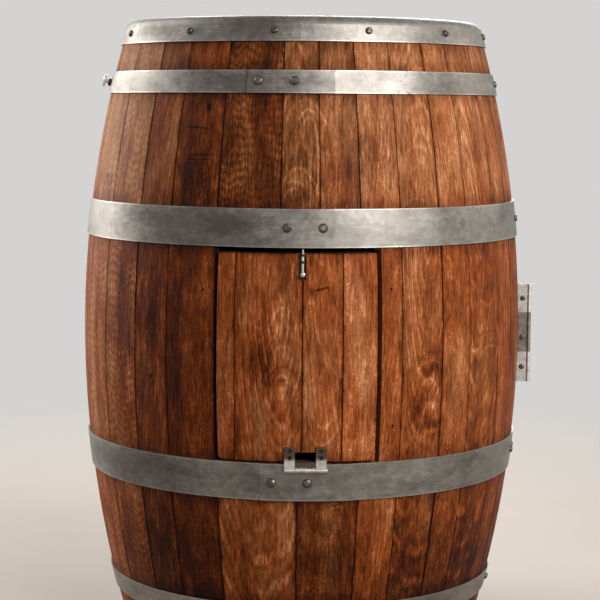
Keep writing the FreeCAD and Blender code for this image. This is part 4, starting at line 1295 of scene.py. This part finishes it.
@dataclass
class Cask:
    """The standing staves of the cask, with their marks and crowns in degrees and millimetres."""

    frame: Frame
    staves: dict[str, tuple[Board, ...]] = field(
        default_factory=lambda: {
            "stave_01": (Board(-88, -74.3, Sawing.QUARTERED, 0.20),),
            "stave_02": (Board(-74.3, -58, Sawing.FIGURED, 0.21),),
            "stave_03": (Board(-58, -44.5, Sawing.FIGURED, 0.16),),
            "stave_04": (Board(-44.5, -33.8, Sawing.RIFT, -0.05, -0.05),),
            "stave_05": (Board(-33.8, -20.5, Sawing.QUARTERED, -0.11, -0.5),),
            "stave_06": (Board(15.3, 25.8, Sawing.RIFT, 0.08),),
            "stave_07": (Board(25.8, 37.5, Sawing.PLAIN, 0.03, 0.4),),
            "stave_08": (Board(37.5, 47, Sawing.QUARTERED, 0.04),),
            "stave_09": (Board(47, 60.4, Sawing.PLAIN, -0.01),),
            "stave_10": (Board(60.4, 69.8, Sawing.RIFT, -0.01, 0.05),),
            "stave_11": (Board(69.8, 83.71, Sawing.QUARTERED, -0.03),),
            "stave_12": (Board(138, 158, Sawing.PLAIN, 0.04),),
            "stave_13": (Board(158, 175.5, Sawing.QUARTERED, -0.02),),
            "stave_14": (Board(175.5, 194.5, Sawing.RIFT, 0.06),),
            "stave_15": (Board(194.5, 212, Sawing.PLAIN, 0.00),),
            "stave_16": (Board(212, 231.5, Sawing.QUARTERED, 0.08),),
            "stave_17": (Board(231.5, 250, Sawing.RIFT, 0.02),),
            "stave_18": (Board(250, 272, Sawing.QUARTERED, 0.06),),
            "staves_above_flap": (
                Board(-20.5, -4.5, Sawing.FIGURED, -0.22, 0.0),
                Board(-4.5, 5.2, Sawing.PLAIN, -0.08, 0.4),
                Board(5.2, 15.3, Sawing.RIFT, -0.07),
            ),
            "staves_below_flap": (
                Board(-20.5, -0.2, Sawing.PLAIN, 0.12, 0.6),
                Board(-0.2, 15.3, Sawing.QUARTERED, -0.05, 0.6),
            ),
            "staves_above_door": (
                Board(83.71, 98, Sawing.QUARTERED, 0.0),
                Board(98, 110.5, Sawing.RIFT, 0.03),
                Board(110.5, 125, Sawing.PLAIN, -0.02),
                Board(125, 138, Sawing.QUARTERED, 0.02),
            ),
            "staves_below_door": (
                Board(83.71, 98, Sawing.QUARTERED, -0.02),
                Board(98, 110.5, Sawing.RIFT, 0.02),
                Board(110.5, 125, Sawing.PLAIN, -0.02),
                Board(125, 138, Sawing.QUARTERED, 0.0),
            ),
        }
    )
    marks: dict[str, tuple[Mark, ...]] = field(
        default_factory=lambda: {
            "stave_02": (Mark(MarkKind.STAIN, -64.0, 690.0, 40, 16),),
            "stave_03": (
                Mark(MarkKind.SHADE, -51.0, 450.0, 60, 200),
                Mark(MarkKind.SHADE, -49.0, 520.0, 30, 120),
                Mark(MarkKind.SHADE, -51.0, 170.0, 60, 80),
            ),
            "stave_04": (
                Mark(MarkKind.HOLE, -38.8, 418.4, 2.2, 3.4),
                Mark(MarkKind.STAIN, -38.5, 470, 14, 120),
                Mark(MarkKind.SHADE, -39.0, 170.0, 60, 80),
            ),
            "stave_05": (
                Mark(MarkKind.HOLE, -23.5, 543.9, 1.6, 2.0),
                Mark(MarkKind.KNOT, -25.0, 791.8, 5, 6),
                Mark(MarkKind.STAIN, -27, 690, 30, 60),
                Mark(MarkKind.SHADE, -27, 730, 60, 120),
                Mark(MarkKind.SHADE, -31, 450, 15, 190),
                Mark(MarkKind.SCRATCH, -26, 727, 32, 1.2, 2.0),
                Mark(MarkKind.SCRATCH, -28, 764, 22, 1.6, -4.0),
                Mark(MarkKind.SCRATCH, -27, 721, 30, 0.9, -1.0),
                Mark(MarkKind.SCRATCH, -28, 715, 24, 0.9, 1.0),
                Mark(MarkKind.STAIN, -22.5, 672, 22, 16),
            ),
            "stave_06": (
                Mark(MarkKind.HOLE, 22.8, 547.6, 1.6, 2.0),
                Mark(MarkKind.HOLE, 23.6, 358.7, 1.6, 2.4),
                Mark(MarkKind.SHADE, 20.5, 740.0, 60, 70),
            ),
            "stave_07": (
                Mark(MarkKind.STAIN, 34.0, 432.0, 18, 22),
                Mark(MarkKind.SMEAR, 34.6, 424.0, 6, 10, 12.0),
                Mark(MarkKind.STAIN, 30.0, 372.0, 16, 28),
                Mark(MarkKind.STAIN, 34.2, 358.0, 22, 9),
                Mark(MarkKind.SMEAR, 34.2, 384.0, 15, 7),
                Mark(MarkKind.SMEAR, 34.6, 347.0, 17, 4),
                Mark(MarkKind.SHADE, 31.6, 160.0, 70, 90),
            ),
            "stave_08": (Mark(MarkKind.SHADE, 42.2, 160.0, 70, 90),),
            "stave_09": (Mark(MarkKind.SHADE, 53.7, 160.0, 80, 90),),
            "staves_above_flap": (
                Mark(MarkKind.STAIN, 0.5, 676.0, 24, 18),
                Mark(MarkKind.SHADE, 1.0, 716.0, 34, 26),
                Mark(MarkKind.STAIN, 3.6, 694.0, 7, 22),
            ),
        }
    )
    crowns: dict[str, tuple[Crown, ...]] = field(
        default_factory=lambda: {
            "staves_above_flap": (
                Crown(1.6, 803, 32, 32, 0.12),
                Crown(2.4, 790, 15, 13, 0.16),
                Crown(2.4, 779, 12, 19, 0.12),
                Crown(0.0, 712, 26, 29, 0.18),
                Crown(-1.2, 684, 13, 11, 0.16),
                Crown(-1.3, 694, 16, 9, 0.10),
                Crown(-8.2, 755, 20, -5, 0.10),
            ),
            "stave_07": (
                Crown(30.5, 780, 11, 27, 0.12),
                Crown(31.5, 795, 20, 46, 0.08),
                Crown(32.5, 741, 24, 12, 0.10),
                Crown(31.0, 669, 19, 8, 0.12),
                Crown(33.6, 423, 23, 40, 0.16),
                Crown(33.9, 388, 14, 26, 0.16),
                Crown(33.8, 447, 21, 11, 0.10),
                Crown(33.7, 458, 19, 14, -0.10),
            ),
            "stave_09": (
                Crown(54.8, 515, 20, -11, 0.14),
                Crown(49.4, 454, 14, -7, 0.16),
                Crown(55.8, 457, 21, 7, 0.12),
                Crown(55.8, 467, 21, 6, 0.10),
                Crown(50.2, 518, 17, 9, 0.08),
                Crown(55.2, 479, 23, 5, -0.08),
            ),
        }
    )

    def build(self) -> None:
        """Dress every stave."""
        for node, boards in self.staves.items():
            marks, crowns = self.marks.get(node, ()), self.crowns.get(node, ())
            self.frame.dress(node, StaveOak(f"oak_{node}", boards, marks=marks, crowns=crowns).make())


@dataclass
class Hoops:
    """The six hoops, their rivets and their screws, with places in degrees and millimetres."""

    frame: Frame
    # Dark patches on the hoops: partly real stain, partly painted shade that dims their reflection.
    stains_and_shade: dict[str, tuple[StainAndShade, ...]] = field(
        default_factory=lambda: {
            "top_hoop": (StainAndShade(-14, 900, 80, 30, 0.65), StainAndShade(-50, 899, 70, 14, 0.4)),
            "upper_bulge_hoop": (StainAndShade(-26, 634, 150, 44, 0.55), StainAndShade(-17, 634, 80, 26, 0.75)),
            "upper_quarter_hoop": (StainAndShade(-15, 826, 95, 26, 0.6),),
            "lower_bulge_hoop": (StainAndShade(-42, 286, 140, 40, 0.55), StainAndShade(0, 284, 110, 30, 0.3)),
        }
    )
    rivet: FittingSteel = FittingSteel(
        "steel_rivets", (0.040, 0.034, 0.030), (0.22, 0.20, 0.18), 0.36, 9.0, 0.5, speckle=0.5
    )
    screw_steel: FittingSteel = FittingSteel("steel_screws", (0.030, 0.026, 0.024), (0.16, 0.145, 0.13), 0.38)
    screw: SlottedScrew = SlottedScrew(5.0, 3.2, 2.0, 17.9)
    screw_stand: float = 2.9
    top_screws: tuple[float, ...] = (-98, -67, -35, -7.5, 20.2, 48.6, 79.5, 112, 142, 172, 202, 239)
    top_screw_height: float = 896.0
    doorway_screws: tuple[float, float] = (80.0, 142.0)
    doorway_heights: tuple[float, ...] = (827.0, 630.5, 283.5, 87.0)

    def build(self) -> None:
        """Dress the hoops and what fastens them."""
        for node, (foot, head) in HOOP_SPANS.items():
            self.frame.dress(node, HoopSteel(f"steel_{node}", foot, head, self.stains_and_shade.get(node, ())).make())
        door_piece = HoopSteel("steel_door_hoop_piece", *HOOP_SPANS["lower_bulge_hoop"])
        self.frame.dress("door_hoop_piece", door_piece.make())
        self.frame.dress("hoop_rivets", self.rivet.make())
        self._screws()

    def _screws(self) -> None:
        """Slotted round-headed screws through the hoops, in place of the plain ones."""
        finish = self.screw_steel.make()
        self.frame.dress("hoop_screws", finish)
        fitter = Fitter(self.screw.model(), finish, "screw_steel")
        draw = random.Random("hoop screws")
        spots = [(azimuth, self.top_screw_height) for azimuth in self.top_screws]
        spots += [(self.doorway_screws[0], height) for height in self.doorway_heights]
        spots.append((self.doorway_screws[1], self.doorway_heights[2]))
        for number, (azimuth, height) in enumerate(spots, 1):
            way = square_to_skin(azimuth, height)
            spot = around(skin(height), azimuth, height) + way * (self.screw_stand * MM)
            made = fitter.set_at(f"hoop_screw_{number:02d}", "cask", spot, way, draw.uniform(0, math.pi))
            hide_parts("hoop_screws")
        fitter.done()


@dataclass
class Flap:
    """The drop flap with its boards, battens, hinge, screws and slide bolt, in degrees and millimetres."""

    frame: Frame
    foot: float = 311.7
    head: float = 597.0
    marks: dict[str, tuple[Mark, ...]] = field(
        default_factory=lambda: {
            "flap_stave_2": (
                Mark(MarkKind.SMEAR, -3.6, 414.0, 12, 5),
                Mark(MarkKind.STAIN, -3.6, 425.0, 14, 4),
                Mark(MarkKind.STAIN, -8.5, 455.0, 20, 60),
            ),
            "flap_stave_3": (
                Mark(MarkKind.BRUISE, 3.1, 586.0, 5, 9),
                Mark(MarkKind.SMEAR, 5.4, 584.0, 3, 4),
                Mark(MarkKind.BRUISE, 3.2, 546.0, 5, 6),
                Mark(MarkKind.SCRATCH, 5.6, 549.0, 13, 2.0, 13.0),
                Mark(MarkKind.SMEAR, 7.0, 452.0, 6, 22, 12.0),
            ),
            "flap_stave_4": (
                Mark(MarkKind.SMEAR, 12.0, 584.0, 3.5, 5),
                Mark(MarkKind.SMEAR, 12.6, 507.0, 3, 8),
                Mark(MarkKind.SMEAR, 11.9, 502.0, 5, 2.5),
                Mark(MarkKind.SMEAR, 12.1, 460.0, 3.5, 4),
                Mark(MarkKind.SMEAR, 12.6, 405.0, 3.5, 9, 12.0),
                Mark(MarkKind.STAIN, 12.9, 560.0, 3.5, 14),
            ),
        }
    )
    crowns: dict[str, tuple[Crown, ...]] = field(
        default_factory=lambda: {
            "flap_stave_2": (
                Crown(-3.4, 525, 20, 31, 0.15),
                Crown(-3.6, 433, 12, 18, 0.18),
                Crown(-3.4, 444, 18, 14, -0.14),
                Crown(-3.5, 472, 10, 5, 0.13),
                Crown(-3.3, 504, 14, 27, 0.08),
            ),
            "flap_stave_3": (
                Crown(6.2, 360, 17, -22, 0.14),
                Crown(5.9, 336, 24, -26, 0.14),
                Crown(3.3, 534, 8, 11, 0.12),
            ),
        }
    )
    staves: dict[str, Board] = field(
        default_factory=lambda: {
            "flap_stave_1": Board(-19.9, -15.3, Sawing.QUARTERED, 0.06),
            "flap_stave_2": Board(-15.3, 1.1, Sawing.PLAIN, 0.03, heart=24.0),
            "flap_stave_3": Board(1.1, 10.8, Sawing.RIFT, 0.07),
            "flap_stave_4": Board(10.8, 19.4, Sawing.QUARTERED, 0.12),
        }
    )
    nickel_dark: Colour = (0.34, 0.31, 0.27)
    nickel_bright: Colour = (0.70, 0.66, 0.60)
    # Pale end of the bolt plate's painted shade, and the flap screws' own dark steel.
    tarnished: Colour = (0.060, 0.045, 0.034)
    # Upper legs: partly real tarnish, partly painted shade. Tongue above its knuckle: painted shade where it
    # lies in the notch.
    leg_tarnish_and_shade: tuple[float, float] = (310.0, 319.0)
    tongue_painted_shade: tuple[float, float] = (304.6, 306.0)

    @property
    def fittings(self) -> dict[str, FittingSteel]:
        """Metal of each fitting on the flap.

        Returns:
            The finishes, by the names of the nodes.
        """
        leg = FittingSteel("nickel_flap_hinge", self.nickel_dark, self.nickel_bright, 0.40, 9.0, 0.25, 0.4)
        bolt = FittingSteel("steel_bolt", (0.36, 0.34, 0.31), (0.70, 0.67, 0.62), 0.44, 5.0, 0.25, 0.4)
        # The bolt plate is painted dark as the shade of the recess round the rod.
        plate = FittingSteel("tarnished_steel", (0.018, 0.013, 0.010), self.tarnished, 0.55, 6.0, 0.6)
        plate = replace(plate, metallic=0.6)
        screws = FittingSteel("steel_flap_screws", (0.016, 0.011, 0.008), self.tarnished, 0.5, 6.0)
        return {
            "flap_hinge_leaf": replace(leg, tarnish=self.leg_tarnish_and_shade),
            "flap_hinge_tongue": replace(leg, name="nickel_flap_tongue", tarnish=self.tongue_painted_shade),
            "flap_hinge_pin": bolt,
            "bolt": bolt,
            "flap_screws": replace(screws, speckle=0.5),
            "bolt_plate": plate,
        }

    def build(self) -> None:
        """Dress the flap."""
        for node, board in self.staves.items():
            marks, crowns = self.marks.get(node, ()), self.crowns.get(node, ())
            oak = StaveOak(f"oak_{node}", (board,), (self.foot, self.head), marks, crowns)
            self.frame.dress(node, oak.make())
        self.frame.dress("flap_battens", PlankOak("oak_flap_battens", along_x=True).make())
        for node, metal in self.fittings.items():
            self.frame.dress(node, metal.make())


@dataclass
class SideDoor:
    """The side door with its boards, battens, hinge, pull and screws, with places in degrees and mm."""

    frame: Frame
    foot: float = 108.0
    head: float = 600.0
    staves: dict[str, Board] = field(
        default_factory=lambda: {
            "door_stave_1": Board(84.29, 97, Sawing.QUARTERED, 0.04),
            "door_stave_2": Board(97, 110.5, Sawing.RIFT, 0.08),
            "door_stave_3": Board(110.5, 124, Sawing.PLAIN, 0.00),
            "door_stave_4": Board(124, 137.4, Sawing.QUARTERED, 0.05),
        }
    )
    zinc: FittingSteel = FittingSteel(
        "steel_door_hinge", (0.34, 0.33, 0.31), (0.70, 0.69, 0.66), 0.50, 9.0, 0.25, speckle=0.5
    )
    # Dark steel for the hinge's tongue: painted shade where it lies behind the leaf's tabs.
    worn: FittingSteel = FittingSteel(
        "steel_door_tongue", (0.10, 0.085, 0.07), (0.34, 0.31, 0.28), 0.50, 9.0, 0.5, speckle=0.5
    )
    screw_steel: FittingSteel = FittingSteel(
        "steel_door_screws", (0.04, 0.035, 0.03), (0.20, 0.18, 0.16), 0.36
    )
    leaf_screw: SlottedScrew = SlottedScrew(4.0, 1.8, 2.4, 2.3, 0.9)
    hinge_azimuth: float = 84.0
    hole_radius: float = 335.0
    leaf_half: float = 1.25
    leaf_holes: tuple[tuple[float, str], ...] = ((405.75, "cask"), (450.25, "side_door"), (509.5, "cask"))

    def build(self) -> None:
        """Dress the side door."""
        for node, board in self.staves.items():
            self.frame.dress(node, StaveOak(f"oak_{node}", (board,), (self.foot, self.head)).make())
        self.frame.dress("door_battens", PlankOak("oak_door_battens", along_x=True).make())
        for node in ("door_hinge_leaf", "door_hinge_pin", "door_pull"):
            self.frame.dress(node, self.zinc.make())
        # The tongue gets the dark steel of painted shade.
        self.frame.dress("door_hinge_tongue", self.worn.make())
        dark = self.screw_steel.make()
        self.frame.dress("door_screws", dark)
        self.frame.dress("hinge_screws", dark)
        self._leaf_screws(dark)

    def _leaf_screws(self, finish: bpy.types.Material) -> None:
        """Fill the free holes of the hinge's leaves with round-headed screws that look forward.

        Args:
            finish: Their material.
        """
        fitter = Fitter(self.leaf_screw.model(), finish, "screw_steel")
        turn = math.radians(self.hinge_azimuth)
        forward = Vector((-math.cos(turn), -math.sin(turn), 0.0))
        draw = random.Random("leaf screws")
        for number, (height, body) in enumerate(self.leaf_holes, 1):
            spot = around(self.hole_radius, self.hinge_azimuth, height) + forward * (self.leaf_half * MM)
            fitter.set_at(f"leaf_screw_{number}", body, spot, forward, draw.uniform(0, math.pi))
        fitter.done()


@dataclass
class Inside:
    """The heads, the bar top, the shelf with its cleats, and the hook stud."""

    frame: Frame
    head_seams: tuple[float, ...] = (-160.0, -60.0, 45.0, 150.0)
    top_seams: tuple[float, ...] = (-150.0, -50.0, 50.0, 150.0)
    shelf_face: float = 300.0
    stud_steel: FittingSteel = FittingSteel(
        "steel_hook_stud", (0.40, 0.39, 0.37), (0.78, 0.77, 0.74), 0.34, 9.0, 0.15, speckle=0.5
    )
    nut_steel: FittingSteel = FittingSteel(
        "steel_stud_nut", (0.030, 0.024, 0.020), (0.14, 0.12, 0.10), 0.45, 6.0, speckle=0.6
    )
    nut: HexNut = HexNut(6.6, 4.4, 4.3)
    nut_stand: float = 2.95
    nut_spin: float = 0.35
    stud_spot: tuple[float, float] = (-84.0, 827.0)

    def build(self) -> None:
        """Dress the inside."""
        boards = {
            "bar_top": PlankOak("oak_bar_top", self.top_seams, HEIGHT, AMBER, True, tone=0.02, varnish=0.05),
            "top_head": PlankOak("oak_top_head", self.head_seams),
            "foot_head": PlankOak("oak_foot_head", self.head_seams),
            "shelf": PlankOak("oak_shelf", (), self.shelf_face, along_x=True),
            "shelf_cleats": PlankOak("oak_shelf_cleats"),
        }
        for node, oak in boards.items():
            self.frame.dress(node, oak.make())
        self.frame.dress("hook_stud", self.stud_steel.make())
        self._nut()

    def _nut(self) -> None:
        """Dark nut on the stud's stem, against the hoop."""
        fitter = Fitter(self.nut.model(), self.nut_steel.make(), "stud_steel")
        azimuth, height = self.stud_spot
        way = square_to_skin(azimuth, height)
        spot = around(skin(height), azimuth, height) + way * (self.nut_stand * MM)
        fitter.set_at("stud_nut", "cask", spot, way, self.nut_spin)
        fitter.done()


# ---------------------------------------------------------------------------------------- studio


@dataclass(frozen=True)
class Lamp:
    """A soft lamp: its place and aim in metres, its width and height, and its power in watts."""

    name: str
    place: tuple[float, float, float]
    aim: tuple[float, float, float]
    width: float
    tall: float
    power: float
    colour: Colour = (1.0, 1.0, 1.0)

    def build(self) -> None:
        """Hang the lamp."""
        data = bpy.data.lights.new(self.name, "AREA")
        data.shape, data.size, data.size_y = "RECTANGLE", self.width, self.tall
        data.energy, data.color = self.power, self.colour
        lamp = bpy.data.objects.new(self.name, data)
        bpy.context.scene.collection.objects.link(lamp)
        lamp.location = self.place
        lamp.rotation_euler = (Vector(self.aim) - Vector(self.place)).to_track_quat("-Z", "Y").to_euler()
        lamp.visible_camera = False


@dataclass
class Studio:
    """Camera, lamps, world and floor: places and sizes in metres, angles in degrees."""

    eye: tuple[float, float, float] = (0.0410, -2.7647, 0.7932)
    turn: float = 0.9
    pitch: float = 6.058
    roll: float = 0.4155
    lens: float = 109.33
    sensor: float = 36.0
    backdrop: Colour = (0.66, 0.65, 0.64)
    fill: Colour = (1.0, 0.89, 0.79)
    fill_strength: float = 0.17
    floor_radius: float = 14.0
    floor_sides: int = 96
    floor_cloud: Layer = Layer(0.004, 0.004, 0.0, detail=3.0, rough=0.5)
    floor_waver: float = 200.0
    floor_lit: Colour = (0.22, 0.20, 0.19)
    floor_seen: tuple[Colour, Colour] = ((0.45, 0.41, 0.37), (0.50, 0.46, 0.42))
    floor_fade: tuple[float, float] = (700.0, 2600.0)
    lamps: tuple[Lamp, ...] = (
        Lamp("key", (1.95, -2.30, 1.95), (0.0, -0.1, 0.60), 2.4, 2.0, 128.0, (1.0, 0.98, 0.95)),
        Lamp("left_window", (-2.05, 1.05, 1.50), (-0.2, 0.0, 0.70), 1.6, 2.0, 60.0, (1.0, 0.96, 0.91)),
        Lamp("right_rim", (2.1, 0.75, 1.6), (0.25, 0.0, 0.6), 0.8, 1.9, 11.0, (1.0, 0.90, 0.82)),
        Lamp("back_fill", (0.2, 2.8, 2.0), (0.0, 0.2, 0.5), 1.6, 1.6, 60.0),
    )

    def build(self) -> None:
        """Set up everything around the cabinet."""
        self._camera()
        self._world()
        self._floor()
        for lamp in self.lamps:
            lamp.build()
        bpy.context.scene.view_settings.view_transform = "Standard"
        LOG.info("set up the studio")

    def _camera(self) -> None:
        """Place the camera a little right of the middle, looking slightly down."""
        turn, pitch, roll = (math.radians(a) for a in (self.turn, self.pitch, self.roll))
        right = Vector((math.cos(turn), math.sin(turn), 0))
        ahead = Vector((-math.sin(turn), math.cos(turn), 0))
        forward = ahead * math.cos(pitch) - Vector((0, 0, math.sin(pitch)))
        up = ahead * math.sin(pitch) + Vector((0, 0, math.cos(pitch)))
        tilted_right = right * math.cos(roll) + up * math.sin(roll)
        tilted_up = up * math.cos(roll) - right * math.sin(roll)
        data = bpy.data.cameras.new("camera")
        data.lens, data.sensor_width = self.lens, self.sensor
        camera = bpy.data.objects.new("camera", data)
        bpy.context.scene.collection.objects.link(camera)
        axes = Matrix((tilted_right, tilted_up, -forward)).transposed().to_4x4()
        camera.matrix_world = Matrix.Translation(self.eye) @ axes
        bpy.context.scene.camera = camera

    def _world(self) -> None:
        """Soft fill for what is lit, and the plain backdrop for what is seen."""
        world = bpy.data.worlds.new("studio")
        world.use_nodes = True
        bench = Bench(world.node_tree, "ShaderNodeOutputWorld")
        lit = bench.node("ShaderNodeBackground", None, {0: (*self.fill, 1.0), 1: self.fill_strength})
        seen = bench.node("ShaderNodeBackground", None, {0: (*self.backdrop, 1.0), 1: 1.0})
        shaders = {0: bench.shown(), 1: lit.outputs[0], 2: seen.outputs[0]}
        mixed = bench.node("ShaderNodeMixShader", None, shaders)
        bench.feed(bench.output.inputs[0], mixed.outputs[0])
        bpy.context.scene.world = world

    def _floor(self) -> None:
        """A round pale floor that keeps the shadow and fades into the backdrop."""
        bpy.ops.object.select_all(action="DESELECT")
        bpy.ops.mesh.primitive_circle_add(
            vertices=self.floor_sides, radius=self.floor_radius, fill_type="NGON"
        )
        floor = bpy.context.object
        floor.name = "floor"
        bench = Finish("pale_floor")
        x, y, _ = bench.place()
        cloud = self.floor_cloud.at(Spot(bench, x, y, 0.0, 0.0))
        seen = bench.shown()
        bench.dress(
            Base_Color=bench.blend(seen, self.floor_lit, bench.blend(cloud + 0.5, *self.floor_seen)),
            Roughness=0.65 + cloud * 0.1,
            Specular_IOR_Level=0.25,
        )
        glow = bench.node("ShaderNodeEmission", None, {0: (*self.backdrop, 1.0), 1: 1.0})
        share = seen * (span(x, y) + cloud * self.floor_waver).eased(*self.floor_fade)
        shaders = {0: share, 1: bench.shader.outputs[0], 2: glow.outputs[0]}
        mixed = bench.node("ShaderNodeMixShader", None, shaders)
        bench.feed(bench.output.inputs[0], mixed.outputs[0])
        floor.data.materials.append(bench.material)


def main() -> None:
    """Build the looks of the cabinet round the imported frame."""
    logging.basicConfig(level=logging.INFO, format="%(message)s")
    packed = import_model()
    frame = Frame(packed["nodes"])
    for assembly in (Cask(frame), Hoops(frame), Flap(frame), SideDoor(frame), Inside(frame), Studio()):
        assembly.build()


if __name__ == "__main__":
    main()
